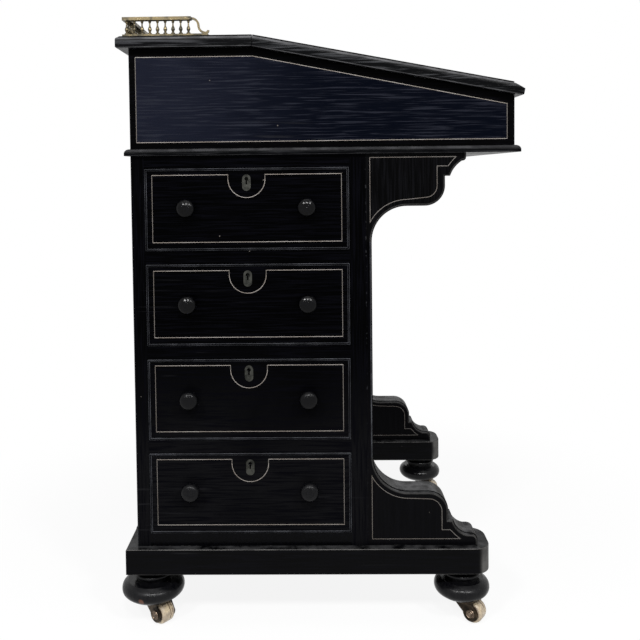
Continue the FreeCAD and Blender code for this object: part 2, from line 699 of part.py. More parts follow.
def build_carcass():
    full_width, full_height = ("left_face", "right_face"), ("plinth_top", "carcass_top")
    opening = ("opening_back", "opening_front")
    back = new_body("carcass_back_panel")
    pad(back, outline(back, "XY_Plane", "back_panel_plan", (
        ("back_panel_thickness", "0"),
        ("back_panel_thickness", "carcass_width"),
        ("arris_round", "carcass_width"),
        ("0", "carcass_width - arris_round", "arris_round", "carcass_width - arris_round"),
        ("0", "arris_round"),
        ("arris_round", "0", "arris_round", "arris_round"),
    )), "carcass_top - plinth_top")
    place(back, "case_back", "left_face", "plinth_top")
    node(back)
    node(board("carcass_front_panel", ("opening_front", "case_front"), full_width, full_height))
    node(board("carcass_bottom", opening, ("left_face", "blind_inside"), ("plinth_top", "first_opening")))
    rails, runners = [], []
    bolt_y = "(drawer_back_of_front - lock_depth/2)"
    for level in range(DRAWER_COUNT):
        low = f"({opening_low(level)} + drawer_opening_height)"
        high = "carcass_top" if level == DRAWER_COUNT - 1 else f"{low} + rail_height"
        rail = board(f"rail_{level}", opening, ("left_face", "left_face + rail_depth"), (low, high))
        mortise = board(f"rail_{level}_mortise", bolt_span("opening_middle", "bolt_width", "fit_gap"),
                        bolt_span(bolt_y, "bolt_thickness", "fit_gap"),
                        (f"{low} - cut_overrun", f"{low} + bolt_throw"))
        rails.append(cut(f"rail_{level}_mortised", rail, [mortise]))
        if level == 0:
            continue
        under = (f"{opening_low(level)} - rail_height", opening_low(level))
        run = ("left_face + rail_depth", "blind_inside")
        for side, x in (("back", ("opening_back", "opening_back + runner_width")),
                        ("front", ("opening_front - runner_width", "opening_front"))):
            runners.append(board(f"runner_{level}_{side}", x, run, under))
    node(group("drawer_rails", rails))
    node(group("drawer_runners", runners))


def make_front(name, thickness, low, y, outward_left):
    body = new_body(name)
    width, height = "drawer_opening_width - 2*drawer_gap", "drawer_opening_height - 2*drawer_gap"
    face = rectangle(("0", width), ("0", height))
    inner = rectangle(("bead_width", f"{width} - bead_width"), ("bead_width", f"{height} - bead_width"))
    pad(body, outline(body, "XZ_Plane", f"{name}_face", face), thickness, not outward_left)
    bead = pad(body, outline(body, "XZ_Plane", f"{name}_bead", face, inner), f"{thickness} + bead_projection",
               not outward_left)
    crest = f"{'-' if outward_left else ''}({thickness} + bead_projection)"
    round_edges(body, bead, "bead_round", lambda edge: lies(edge, "Y", crest))
    place(body, "opening_back + drawer_gap", y, f"{low} + drawer_gap")
    return body


def knob_places(level):
    drop = "knob_drop" if level else "lowest_knob_drop"
    height = f"{opening_low(level)} + drawer_opening_height - {drop}"
    return (("back", "opening_back + knob_inset", height), ("front", "opening_front - knob_inset", height))


def build_drawer(number, knob, escutcheon):
    low = opening_low(DRAWER_COUNT - number)
    name = f"drawer_{number}"
    top = f"({low} + drawer_opening_height - drawer_gap)"
    back_of_front = "drawer_back_of_front"
    lock_x = ("opening_middle - lock_width/2", "opening_middle + lock_width/2")
    lock_y = (f"{back_of_front} - lock_depth", back_of_front)
    lock_z = (f"{top} - lock_height", top)

    blank = make_front(f"{name}_front_blank", "drawer_front_thickness", low, back_of_front, True)
    tools = [board(f"{name}_lock_recess", lock_x, (lock_y[0], f"{back_of_front} + cut_overrun"),
                   (lock_z[0], f"{top} + cut_overrun"))]
    hole_length = "(drawer_front_thickness - lock_depth + 2*cut_overrun)"
    tools.append(keyhole(f"{name}_front", "y", "opening_middle", "left_face - cut_overrun",
                         f"({top} - keyhole_drop)", hole_length))
    knobs = []
    for side, x, z in knob_places(DRAWER_COUNT - number):
        tools.append(rod(f"{name}_{side}_knob_hole", "y", x, "left_face - cut_overrun", z,
                         "knob_tenon_diameter + 2*running_gap", "drawer_front_thickness + 2*cut_overrun"))
        knobs.append(copy(f"{name}_{side}_knob", knob, x, "left_face", z, (1, 0, 0), "90"))
    node(cut(f"{name}_front", blank, tools))
    node(group(f"{name}_knobs", knobs))

    side_low = f"({low} + fit_gap)"
    side_high = f"{side_low} + drawer_side_height"
    inside = ("opening_back + drawer_gap + drawer_side_thickness",
              "opening_front - drawer_gap - drawer_side_thickness")
    end = f"{back_of_front} + drawer_length"
    length, height = (back_of_front, end), (side_low, side_high)
    bottom_low = f"{side_low} + drawer_bottom_raise"
    node(group(f"{name}_box", [
        board(f"{name}_back_side", ("opening_back + drawer_gap", inside[0]), length, height),
        board(f"{name}_front_side", (inside[1], "opening_front - drawer_gap"), length, height),
        board(f"{name}_back", inside, (f"{end} - drawer_back_thickness", end), height),
        board(f"{name}_bottom", inside, (back_of_front, f"{end} - drawer_back_thickness"),
              (bottom_low, f"{bottom_low} + drawer_bottom_thickness")),
    ]))

    bolt_y = f"({back_of_front} - lock_depth/2)"
    case = board(f"{name}_lock_case", lock_x, lock_y, lock_z)
    cavity = board(f"{name}_bolt_cavity", bolt_span("opening_middle", "bolt_width", "fit_gap"),
                   bolt_span(bolt_y, "bolt_thickness", "fit_gap"),
                   (f"{top} - bolt_height - fit_gap", f"{top} + cut_overrun"))
    eye_z = f"({top} - keyhole_drop)"
    key = keyhole(f"{name}_case", "y", "opening_middle", f"{lock_y[0]} - cut_overrun", eye_z,
                  "(keyhole_depth + cut_overrun)")
    plate = copy(f"{name}_escutcheon", escutcheon, "opening_middle", "left_face", eye_z)
    node(group(f"{name}_lock", [cut(f"{name}_lock_body", case, [cavity, key]), plate]))
    node(board(f"{name}_lock_bolt", bolt_span("opening_middle", "bolt_width"),
               bolt_span(bolt_y, "bolt_thickness"), (f"{top} - bolt_height", top)))


def build_blind_side(knob):
    panel = board("blind_panel", ("opening_back", "opening_front"), ("blind_inside", "right_face"),
                  ("plinth_top", "carcass_top"))
    recesses, holes, fronts, knobs = [], [], [], []
    floor = "(right_face - false_front_thickness)"
    for level in range(DRAWER_COUNT):
        low = opening_low(level)
        recesses.append(board(f"blind_recess_{level}", ("opening_back", "opening_front"),
                              (floor, "right_face + cut_overrun"), (low, f"{low} + drawer_opening_height")))
        front_holes = []
        for side, x, z in knob_places(level):
            start = "right_face - knob_tenon_length - fit_gap"
            hole = (x, start, z, "knob_tenon_diameter + 2*running_gap",
                    "knob_tenon_length + fit_gap + cut_overrun")
            holes.append(rod(f"blind_hole_{level}_{side}", "y", *hole))
            front_holes.append(rod(f"false_hole_{level}_{side}", "y", *hole))
            knobs.append(copy(f"false_knob_{level}_{side}", knob, x, "right_face", z, (1, 0, 0), "-90"))
        blank = make_front(f"false_blank_{level}", "false_front_thickness", low, floor, False)
        fronts.append(cut(f"false_front_{level}", blank, front_holes))
    recessed = cut("blind_panel_recessed", panel, recesses)
    node(cut("carcass_right_panel", recessed, holes))
    node(group("false_drawer_fronts", fronts))
    node(group("false_drawer_knobs", knobs))


def bracket_rise(kind):
    return f"({kind}_notch_height + bulge_rise + bulge_radius)"


def bracket_height(kind):
    return f"({bracket_rise(kind)} + throat_radius)"


def bracket_path(kind, inset):
    bulge_x = f"(pilaster_thickness + {kind}_bulge_reach)"
    notch_z = f"{kind}_notch_height"
    bulge_z = f"({notch_z} + bulge_rise)"
    radius, lean = f"{kind}_cove_radius", f"{kind}_cove_lean"
    turned = f"({lean} + {kind}_cove_sweep)"
    cove_x = f"({bulge_x} + notch_step + {radius}*cos({lean}))"
    cove_z = f"({notch_z} + {radius}*sin({lean}))"
    hollow = f"({radius} + {inset})"
    tip_x = f"(pilaster_thickness + {kind}_tip_reach)"
    tip_z = f"{kind}_tip_height"
    lip_z = f"({cove_z} - {radius}*sin{turned})"
    nose_x = f"({tip_x} - ({lip_z} - {tip_z}))"
    throat_x = "(pilaster_thickness + throat_radius)"
    throat_z = bracket_height(kind)
    return (
        ("0", "0"),
        (f"{tip_x} - {inset}", "0"),
        (f"{tip_x} - {inset}", tip_z),
        (nose_x, f"{lip_z} - {inset}", nose_x, tip_z),
        (f"{cove_x} - {hollow}*cos{turned}", f"{cove_z} - {hollow}*sin{turned}"),
        (f"{cove_x} - sqrt({hollow}^2 - ({radius}*sin({lean}))^2)", notch_z, cove_x, cove_z),
        (f"{bulge_x} - {inset}", notch_z),
        (f"{bulge_x} - {inset}", bulge_z),
        (f"{bulge_x} - bulge_radius", f"{bulge_z} + bulge_radius - {inset}",
         f"{bulge_x} - bulge_radius", bulge_z),
        (throat_x, f"{bracket_rise(kind)} - {inset}"),
        (f"pilaster_thickness - {inset}", throat_z, throat_x, throat_z),
        ("0", throat_z),
    )


def make_bracket(kind):
    body = new_body(f"{kind}_bracket")
    faces = outline(body, "XZ_Plane", f"{kind}_bracket_faces", bracket_path(kind, "bracket_quirk"))
    pad(body, faces, "bracket_thickness")
    core = outline(body, "XZ_Plane", f"{kind}_bracket_core", bracket_path(kind, "0"))
    core.setExpression("AttachmentOffset.Base.z", formula("bracket_bead"))
    block = pad(body, core, "bracket_thickness - 2*bracket_bead")

    def beaded(edge):
        seated = lies(edge, "X", "0") or lies(edge, "Z", "0", bracket_height(kind))
        return lies(edge, "Y", "0", "-bracket_thickness") and not seated

    round_edges(body, block, "bracket_round", beaded)
    return body


def make_pilaster(height):
    body = new_body("pilaster")
    edge, crest = "(pilaster_thickness - bracket_quirk)", "(bracket_thickness - bracket_bead)"
    bend, far_bend = f"({edge} - bracket_round)", "(bracket_thickness - bracket_round)"
    pad(body, outline(body, "XY_Plane", "pilaster_plan", (
        ("0", "0"),
        (bend, "0"),
        (edge, "bracket_round", bend, "bracket_round"),
        (edge, "bracket_bead"),
        ("pilaster_thickness", "bracket_bead"),
        ("pilaster_thickness", crest),
        (edge, crest),
        (edge, far_bend),
        (bend, "bracket_thickness", bend, far_bend),
        ("0", "bracket_thickness"),
    )), height)
    return body


def build_brackets():
    upper, lower = make_bracket("upper"), make_bracket("lower")
    upside_down = ((1, 0, 0), "180")
    right_low = "right_face - bracket_thickness"
    node(group("upper_brackets", [
        copy("upper_bracket_left", upper, "case_front", "left_face", "carcass_top", *upside_down),
        copy("upper_bracket_right", upper, "case_front", right_low, "carcass_top", *upside_down),
    ]))
    node(group("lower_brackets", [
        copy("lower_bracket_left", lower, "case_front", "left_face + bracket_thickness", "plinth_top"),
        copy("lower_bracket_right", lower, "case_front", "right_face", "plinth_top"),
    ]))
    low, high = f"plinth_top + {bracket_height('lower')}", f"carcass_top - {bracket_height('upper')}"
    pilaster = make_pilaster(f"{high} - ({low})")
    node(group("front_pilasters", [
        copy("left_pilaster", pilaster, "case_front", "left_face", low),
        copy("right_pilaster", pilaster, "case_front", right_low, low),
    ]))


def build_writing_box(escutcheon):
    edge = "(carcass_width/2 + box_board_projection)"
    span = ("case_back - box_board_projection", "box_front_x + box_board_projection")
    level = ("box_floor", "carcass_top")
    along, across = thumb_section(*span, *level), thumb_section(f"-{edge}", edge, *level)
    node(crossed("box_bottom", along, across, span, edge))
    front_height = "(lid_lock_top - box_floor)"
    sides = (("left", "left_face + box_wall", "-box_wall"), ("right", "right_face", "0"))
    for side, right_y, outside in sides:
        wall = new_body(f"box_{side}_side")
        block = pad(wall, outline(wall, "XZ_Plane", f"box_{side}_outline", (
            ("0", "0"),
            ("box_depth", "0"),
            ("box_depth", front_height),
            ("flat_top_depth - slope_drop/tan(lid_slope)", "box_back_height"),
            ("0", "box_back_height"),
        )), "box_wall")
        round_edges(wall, block, "arris_round",
                    lambda edge: lies(edge, "Y", outside) and lies(edge, "X", "0", "box_depth"))
        place(wall, "case_back", right_y, "box_floor")
        node(wall)
    inside = ("-box_inside", "box_inside")
    node(board("box_back", ("case_back", "case_back + box_wall"), inside, ("box_floor", "top_underside")))

    front = new_body("box_front_blank")
    pad(front, outline(front, "XZ_Plane", "box_front_section", (
        ("0", "0"),
        ("box_wall", "0"),
        ("box_wall", front_height),
        ("0", f"{front_height} + box_wall*tan(lid_slope)"),
    )), "2*box_inside")
    place(front, "box_front_x - box_wall", "box_inside", "box_floor")
    inner = "(box_front_x - box_wall)"
    case_x = (inner, f"{inner} + lock_depth")
    case_y = ("-lock_width/2", "lock_width/2")
    case_low, eye_z = "lid_lock_top - lock_height", "(lid_lock_top - keyhole_drop)"
    recess = board("lid_lock_recess", (f"{inner} - cut_overrun", case_x[1]), case_y,
                   (case_low, "top_underside"))
    hole = keyhole("box_front", "x", f"{case_x[1]} - cut_overrun", "0", eye_z,
                   "(box_wall - lock_depth + 2*cut_overrun)")
    node(cut("box_front", front, [recess, hole]))

    bolt_x = f"({inner} + lock_depth/2)"
    case = board("lid_lock_case", case_x, case_y, (case_low, "lid_lock_top"))
    bolt_room = (bolt_span(bolt_x, "bolt_thickness", "fit_gap"), bolt_span("0", "bolt_width", "fit_gap"))
    cavity = board("lid_bolt_cavity", *bolt_room,
                   ("lid_lock_top - bolt_height - fit_gap", "lid_lock_top + cut_overrun"))
    key = keyhole("lid_case", "x", f"{case_x[1]} - keyhole_depth", "0", eye_z,
                  "(keyhole_depth + cut_overrun)")
    plate = copy("lid_escutcheon", escutcheon, "box_front_x", "0", eye_z, (0, 0, 1), "90")
    node(group("lid_lock", [cut("lid_lock_body", case, [cavity, key]), plate]))
    node(board("lid_lock_bolt", bolt_span(bolt_x, "bolt_thickness"), bolt_span("0", "bolt_width"),
               ("lid_lock_top - bolt_height", "lid_lock_top")))
    return board("lid_bolt_mortise", *bolt_room, ("lid_lock_top", "lid_lock_top + bolt_throw + fit_gap"))


def build_nest():
    x = ("case_back + box_wall", "case_back + box_wall + nest_depth")
    shelf_low = "(box_floor + nest_shelf_height)"
    shelf_high = f"({shelf_low} + nest_board)"
    pieces = [board("nest_shelf", x, ("-box_inside", "box_inside"), (shelf_low, shelf_high))]
    for count, name, z in ((UPPER_DIVIDERS, "upper", (shelf_high, "top_underside")),
                           (LOWER_DIVIDERS, "lower", ("box_floor", shelf_low))):
        for number in range(1, count + 1):
            middle = f"(-box_inside + {number}*2*box_inside/{count + 1})"
            y = (f"{middle} - nest_board/2", f"{middle} + nest_board/2")
            pieces.append(board(f"nest_{name}_divider_{number}", x, y, z))
    node(group("stationery_nest", pieces))


def hinge_pieces(name, middle, side):
    if side == "fixed":
        face = "hinge_x - lid_joint_gap/2"
        x = (f"{face} - leaf_thickness", face)
    else:
        face = "hinge_x + lid_joint_gap/2"
        x = (face, f"{face} + leaf_thickness")
    leaf_top = "(top_face - barrel_diameter/2 - fit_gap)"
    start = f"({middle} - hinge_length/2)"
    length = f"((hinge_length - {KNUCKLES - 1}*fit_gap)/{KNUCKLES})"
    pieces = [board(f"{name}_{side}_leaf", x, (start, f"{start} + hinge_length"),
                    (f"{leaf_top} - leaf_height", leaf_top))]
    for number in range(0 if side == "fixed" else 1, KNUCKLES, 2):
        low = f"({start} + {number}*({length} + fit_gap))"
        pieces.append(rod(f"{name}_{side}_knuckle_{number}", "y", "hinge_x", low, "top_face",
                          "barrel_diameter", length))
        pieces.append(board(f"{name}_{side}_tab_{number}", x, (low, f"{low} + {length}"),
                            (leaf_top, "top_face - barrel_diameter/2 + leaf_thickness")))
    pin = ("y", "hinge_x", start, "top_face")
    if side == "fixed":
        pieces.append(rod(f"{name}_pin", *pin, "hinge_pin_diameter", "hinge_length"))
        return fuse(f"{name}_fixed_half", pieces)
    bore = rod(f"{name}_bore", *pin, "hinge_pin_diameter + 2*running_gap", "hinge_length")
    return cut(f"{name}_lid_half", fuse(f"{name}_lid_blank", pieces), [bore])


def hinge_housing(name, middle, x):
    low, high = f"{middle} - hinge_length/2 - barrel_room", f"{middle} + hinge_length/2 + barrel_room"
    leaf_room = board(f"{name}_leaf_room", x, (f"{middle} - hinge_length/2", f"{middle} + hinge_length/2"),
                      ("top_face - barrel_diameter/2 - fit_gap - leaf_height", "top_face + cut_overrun"))
    barrel = rod(f"{name}_barrel_room", "y", "hinge_x", low, "top_face", "barrel_diameter + 2*barrel_room",
                 f"({high}) - ({low})")
    return fuse(f"{name}_housing", [leaf_room, barrel])


def lid_board(name, u, y, w):
    item = board(name, u, y, w)
    place(item, f"hinge_x + ({u[0]})*cos(lid_slope) + ({w[0]})*sin(lid_slope)", y[0],
          f"top_face - ({u[0]})*sin(lid_slope) + ({w[0]})*cos(lid_slope)", (0, 1, 0), "lid_slope")
    return item


def build_top(bolt_mortise):
    hinges = (("left_hinge", "(-hinge_spread/2)"), ("right_hinge", "(hinge_spread/2)"))
    node(group("hinge_fixed_leaves", [hinge_pieces(name, middle, "fixed") for name, middle in hinges]))
    node(group("hinge_lid_leaves", [hinge_pieces(name, middle, "lid") for name, middle in hinges]))

    back, joint = "(case_back - top_overhang)", "(hinge_x - lid_joint_gap/2)"
    along = (
        (f"{back} + edge_width", "top_face"),
        (joint, "top_face"),
        (joint, "top_underside"),
        (f"{back} + edge_under", "top_underside"),
        (back, "top_underside + edge_under", f"{back} + edge_under", "top_underside + edge_under"),
        (back, "top_face - edge_round"),
        (f"{back} + edge_round", "top_face", f"{back} + edge_round", "top_face - edge_round"),
    )
    across = stepped_section("-top_half_width", "top_half_width", "top_face", "top_underside")
    blank = crossed("flat_top_blank", along, across, (back, joint), "top_half_width")
    rooms = [hinge_housing(f"{name}_top", middle, (f"{joint} - leaf_thickness", f"{joint} + cut_overrun"))
             for name, middle in hinges]
    node(cut("flat_top", blank, rooms))

    gap, bottom = "lid_joint_gap/2", "-top_thickness"
    along = (
        (f"{gap}/cos(lid_slope)", "0"),
        ("lid_length - lid_front_bevel", "0"),
        ("lid_length - lid_front_bevel", "-edge_lip"),
        ("lid_length", "-edge_lip - edge_round"),
        ("lid_length", f"{bottom} + edge_under"),
        ("lid_length - edge_under", bottom, "lid_length - edge_under", f"{bottom} + edge_under"),
        (f"{gap}/cos(lid_slope) + top_thickness*tan(lid_slope)", bottom),
    )
    across = stepped_section("-top_half_width", "top_half_width", "0", bottom)
    blank = crossed("lid_blank", along, across, ("0", "lid_length"), "top_half_width",
                    "hinge_x", "top_face", "lid_slope")
    edge = "(hinge_x + lid_joint_gap/2)"
    tools = [hinge_housing(f"{name}_lid", middle, (f"{edge} - cut_overrun", f"{edge} + leaf_thickness"))
             for name, middle in hinges]
    u = ("leather_margin", "lid_length - leather_margin")
    y = ("-top_half_width + leather_margin", "top_half_width - leather_margin")
    tools.append(lid_board("leather_recess", u, y, ("-leather_thickness", "cut_overrun")))
    tools.append(bolt_mortise)
    node(cut("lid", blank, tools))
    node(lid_board("lid_leather", u, y, ("-leather_thickness", "0")))


def build_gallery():
    half = "gallery_strip_width/2"
    start = f"gallery_back - {half}"
    scroll = new_body("gallery_scroll")
    r, h, c = "scroll_radius", "scroll_band/2", "scroll_curl_radius"
    pad(scroll, outline(scroll, "XZ_Plane", "gallery_scroll_outline", (
        ("0", "0"),
        ("0", h),
        (f"{r} + {h}", f"-{r}", "0", f"-{r}"),
        (f"2*{r}", f"-2*{r} + {h}", f"2*{r}", f"-{r}"),
        (f"2*{r} + {c} - {h}", f"-2*{r} + {c}", f"2*{r}", f"-2*{r} + {c}"),
        (f"2*{r} + {c} + {h}", f"-2*{r} + {c}"),
        (f"2*{r}", f"-2*{r} - {h}", f"2*{r}", f"-2*{r} + {c}"),
        (f"{r} - {h}", f"-{r}", f"2*{r}", f"-{r}"),
        ("0", f"-{h}", "0", f"-{r}"),
    )), "scroll_thickness")
    strips = []
    for name, z, end in (("base", ("top_face", "base_top"), "base_end"),
                         ("rail", ("rail_bottom", "gallery_top"), "rail_end")):
        for side, low in (("left", f"-gallery_side - {half}"), ("right", f"gallery_side - {half}")):
            y = (low, f"{low} + gallery_strip_width")
            strips.append(board(f"gallery_{side}_{name}", (start, end), y, z))
        strips.append(board(f"gallery_back_{name}", (start, f"gallery_back + {half}"),
                            (f"-gallery_side + {half}", f"gallery_side - {half}"), z))
    for side, middle in (("left", "-gallery_side"), ("right", "gallery_side")):
        y = f"{middle} + scroll_thickness/2"
        strips.append(copy(f"gallery_{side}_scroll", scroll, "rail_end", y, "rail_middle"))
    node(group("gallery_rails", strips))

    baluster = make_baluster()
    row = round(value("2*gallery_side/gallery_pitch"))
    posts = []
    for n in range(row + 1):
        y = f"-gallery_side + {n}*2*gallery_side/{row}"
        posts.append(copy(f"back_baluster_{n}", baluster, "gallery_back", y, "base_top"))
    for n in range(1, SIDE_BALUSTERS + 1):
        x = f"gallery_back + {n}*gallery_pitch"
        for side, y in (("left", "-gallery_side"), ("right", "gallery_side")):
            posts.append(copy(f"{side}_baluster_{n}", baluster, x, y, "base_top"))
    node(group("gallery_balusters", posts))


knob, escutcheon = make_knob(), make_escutcheon()
build_casters()
build_feet_and_plinth()
build_carcass()
for number in range(1, DRAWER_COUNT + 1):
    build_drawer(number, knob, escutcheon)
build_blind_side(knob)
build_brackets()
bolt_mortise = build_writing_box(escutcheon)
build_nest()
build_top(bolt_mortise)
build_gallery()
doc.recompute()

for item in doc.Objects:
    if "Invalid" in item.State or "Error" in item.State:
        raise RuntimeError(f"{item.Label} did not build: {item.State}")
for item in nodes:
    if item.Shape.isNull() or not item.Shape.isValid() or not item.Shape.Solids:
        raise RuntimeError(f"{item.Label} has no sound shape")

os.makedirs("parts", exist_ok=True)
for item in nodes:
    item.Shape.exportStep(f"parts/{item.Label}.step")
print(len(nodes), "nodes written")
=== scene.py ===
import bmesh
import bpy
import json
import math
from mathutils import Matrix, Vector


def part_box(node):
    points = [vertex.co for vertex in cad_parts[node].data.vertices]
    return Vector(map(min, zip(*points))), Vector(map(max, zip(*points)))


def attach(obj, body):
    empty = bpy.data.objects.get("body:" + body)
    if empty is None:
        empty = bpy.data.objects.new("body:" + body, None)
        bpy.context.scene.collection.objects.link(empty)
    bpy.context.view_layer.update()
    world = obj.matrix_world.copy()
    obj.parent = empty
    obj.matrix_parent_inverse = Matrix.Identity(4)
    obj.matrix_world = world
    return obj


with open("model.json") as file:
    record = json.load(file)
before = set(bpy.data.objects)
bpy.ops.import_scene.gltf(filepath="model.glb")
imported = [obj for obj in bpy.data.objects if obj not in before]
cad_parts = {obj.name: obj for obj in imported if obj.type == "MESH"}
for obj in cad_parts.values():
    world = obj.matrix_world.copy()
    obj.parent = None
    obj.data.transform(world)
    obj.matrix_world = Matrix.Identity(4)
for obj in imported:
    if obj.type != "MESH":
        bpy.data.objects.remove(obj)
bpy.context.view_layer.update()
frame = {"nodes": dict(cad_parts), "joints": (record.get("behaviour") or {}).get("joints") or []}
cadNodes = frame["nodes"]
joints = {joint["name"]: joint for joint in frame["joints"]}
print("frame loaded:", len(cadNodes), "nodes")


# nodes of the materials
def put(tree, kind, inputs=None, **settings):
    made = tree.nodes.new(kind)
    for name, setting in settings.items():
        setattr(made, name, setting)
    for key, source in (inputs or {}).items():
        if isinstance(source, bpy.types.NodeSocket):
            tree.links.new(source, made.inputs[key])
        else:
            made.inputs[key].default_value = source
    return made


def calc(tree, operation, first, second=0.5, third=0.5):
    return put(tree, "ShaderNodeMath", {0: first, 1: second, 2: third}, operation=operation).outputs[0]


def vectorCalc(tree, operation, first, second=(0, 0, 0)):
    made = put(tree, "ShaderNodeVectorMath", {0: first, 1: second}, operation=operation)
    return made.outputs["Value" if operation in ("DOT_PRODUCT", "LENGTH", "DISTANCE") else "Vector"]


def fade(tree, amount, low, high):
    ends = {"Value": amount, "From Min": low, "From Max": high}
    return put(tree, "ShaderNodeMapRange", ends, interpolation_type="SMOOTHSTEP").outputs[0]


def blendColour(tree, mask, under, over):
    return put(tree, "ShaderNodeMix", {0: mask, 6: under, 7: over}, data_type="RGBA").outputs[2]


def layOver(tree, mask, share, under, over):
    return blendColour(tree, calc(tree, "MULTIPLY", mask, share), under, over)


def stretch(tree, vector, scale, turn=(0, 0, 0)):
    return put(tree, "ShaderNodeMapping", {"Vector": vector, "Scale": scale, "Rotation": turn}).outputs[0]


def cloud(tree, vector, scale, detail=3, distortion=0):
    inputs = {"Vector": vector, "Scale": scale, "Detail": detail, "Distortion": distortion}
    return put(tree, "ShaderNodeTexNoise", inputs).outputs[0]


def axes(tree, vector):
    return put(tree, "ShaderNodeSeparateXYZ", {0: vector}).outputs


def newGroup(name, inputs, outputs):
    tree = bpy.data.node_groups.new(name, "ShaderNodeTree")
    for label, kind in inputs.items():
        tree.interface.new_socket(label, in_out="INPUT", socket_type="NodeSocket" + kind)
    for label, kind in outputs.items():
        tree.interface.new_socket(label, in_out="OUTPUT", socket_type="NodeSocket" + kind)
    return tree, tree.nodes.new("NodeGroupInput").outputs, tree.nodes.new("NodeGroupOutput")


def feed(tree, end, **sources):
    for name, source in sources.items():
        tree.links.new(source, end.inputs[name])


def useGroup(tree, group, inputs):
    return put(tree, "ShaderNodeGroup", inputs, node_tree=group).outputs


# wood grain: X of the vector runs along the boards
grainValues = {"figure": (15, 420, 420), "figureFade": (0.34, 0.7), "pore": (45, 1500, 1500),
               "poreFade": (0.6, 0.72), "tone": (1.4, 14, 14), "toneFade": (0.3, 0.7)}


def makeGrainGroup():
    tree, given, end = newGroup("woodGrain", {"Vector": "Vector"},
                                {"Figure": "Float", "Pores": "Float", "Tone": "Float"})
    place = given["Vector"]
    figure = cloud(tree, stretch(tree, place, grainValues["figure"]), 1, detail=5, distortion=0.5)
    pores = cloud(tree, stretch(tree, place, grainValues["pore"]), 1, detail=2)
    tone = cloud(tree, stretch(tree, place, grainValues["tone"]), 1, detail=3, distortion=0.8)
    feed(tree, end, Figure=fade(tree, figure, *grainValues["figureFade"]),
         Pores=fade(tree, pores, *grainValues["poreFade"]), Tone=fade(tree, tone, *grainValues["toneFade"]))
    return tree


# rubbed edges and painted highlight: found where the face's own normal lies between the axes, so rounded
# edges and beads are lightened both as wear and as light caught on them
edgeWearAndHighlightValues = {"edge": (0.025, 0.16), "scale": 38, "patches": (0.4, 0.66), "patchShare": 0.75,
              "leastShare": 0.5}


def makeWearGroup():
    tree, given, end = newGroup("edgeWear", {"Vector": "Vector", "Normal": "Vector"}, {"Wear": "Float"})
    across, along, upward = axes(tree, vectorCalc(tree, "ABSOLUTE", given["Normal"]))[:3]
    flat = calc(tree, "MAXIMUM", calc(tree, "MAXIMUM", across, along), upward)
    edge = fade(tree, calc(tree, "SUBTRACT", 1.0, flat), *edgeWearAndHighlightValues["edge"])
    noise = cloud(tree, given["Vector"], edgeWearAndHighlightValues["scale"], detail=6)
    patches = fade(tree, noise, *edgeWearAndHighlightValues["patches"])
    uneven = calc(tree, "MULTIPLY_ADD", patches, edgeWearAndHighlightValues["patchShare"], edgeWearAndHighlightValues["leastShare"])
    feed(tree, end, Wear=calc(tree, "MULTIPLY", edge, uneven))
    return tree


# small knocks and fine scratches
knockValues = {"nickScale": 95, "nickChance": 0.045, "nickSize": 0.17, "nickEdge": (0.02, -0.02),
               "raggedScale": 300, "scratch": (7, 330, 250), "scratchTurn": (0.35, 0.6, 0.25),
               "scratchFade": (0.69, 0.74), "patchScale": 8, "patchFade": (0.52, 0.66)}


def makeKnockGroup():
    tree, given, end = newGroup("knocks", {"Vector": "Vector", "Amount": "Float"},
                                {"Nicks": "Float", "Scratches": "Float"})
    place = given["Vector"]
    ragged = cloud(tree, place, knockValues["raggedScale"], detail=2)
    cells = put(tree, "ShaderNodeTexVoronoi", {"Vector": place, "Scale": knockValues["nickScale"]})
    chance = put(tree, "ShaderNodeSeparateColor", {0: cells.outputs["Color"]}).outputs[0]
    rare = calc(tree, "SUBTRACT", 1.0, calc(tree, "MULTIPLY", given["Amount"], knockValues["nickChance"]))
    picked = calc(tree, "GREATER_THAN", chance, rare)
    size = calc(tree, "MULTIPLY", ragged, knockValues["nickSize"])
    nick = fade(tree, calc(tree, "SUBTRACT", cells.outputs["Distance"], size), *knockValues["nickEdge"])
    drawn = stretch(tree, place, knockValues["scratch"], knockValues["scratchTurn"])
    line = fade(tree, cloud(tree, drawn, 1, detail=1), *knockValues["scratchFade"])
    patch = fade(tree, cloud(tree, place, knockValues["patchScale"], detail=2), *knockValues["patchFade"])
    scratch = calc(tree, "MULTIPLY", line, patch)
    feed(tree, end, Nicks=calc(tree, "MULTIPLY", picked, nick),
         Scratches=calc(tree, "MULTIPLY", scratch, given["Amount"]))
    return tree


# dust and dullness on what faces up, also painted sheen: upward faces are lightened as if catching light
dustAndSheenValues = {"upward": (0.45, 0.95), "scale": 55, "patches": (0.3, 0.7)}


def makeDustGroup():
    tree, given, end = newGroup("dustAndSheen", {"Vector": "Vector", "Normal": "Vector"}, {"Dust": "Float"})
    upward = fade(tree, axes(tree, given["Normal"])[2], *dustAndSheenValues["upward"])
    noise = cloud(tree, given["Vector"], dustAndSheenValues["scale"], detail=5)
    patches = fade(tree, noise, *dustAndSheenValues["patches"])
    feed(tree, end, Dust=calc(tree, "MULTIPLY", upward, patches))
    return tree


# painted reflection: black wood made lighter, in uneven patches, along one direction (lower down on the
# case, towards the back on the writing box), standing in for reflected light
paintedReflectionValues = {"scale": 7, "patches": (0.25, 0.6), "patchShare": 0.6, "leastShare": 0.5}


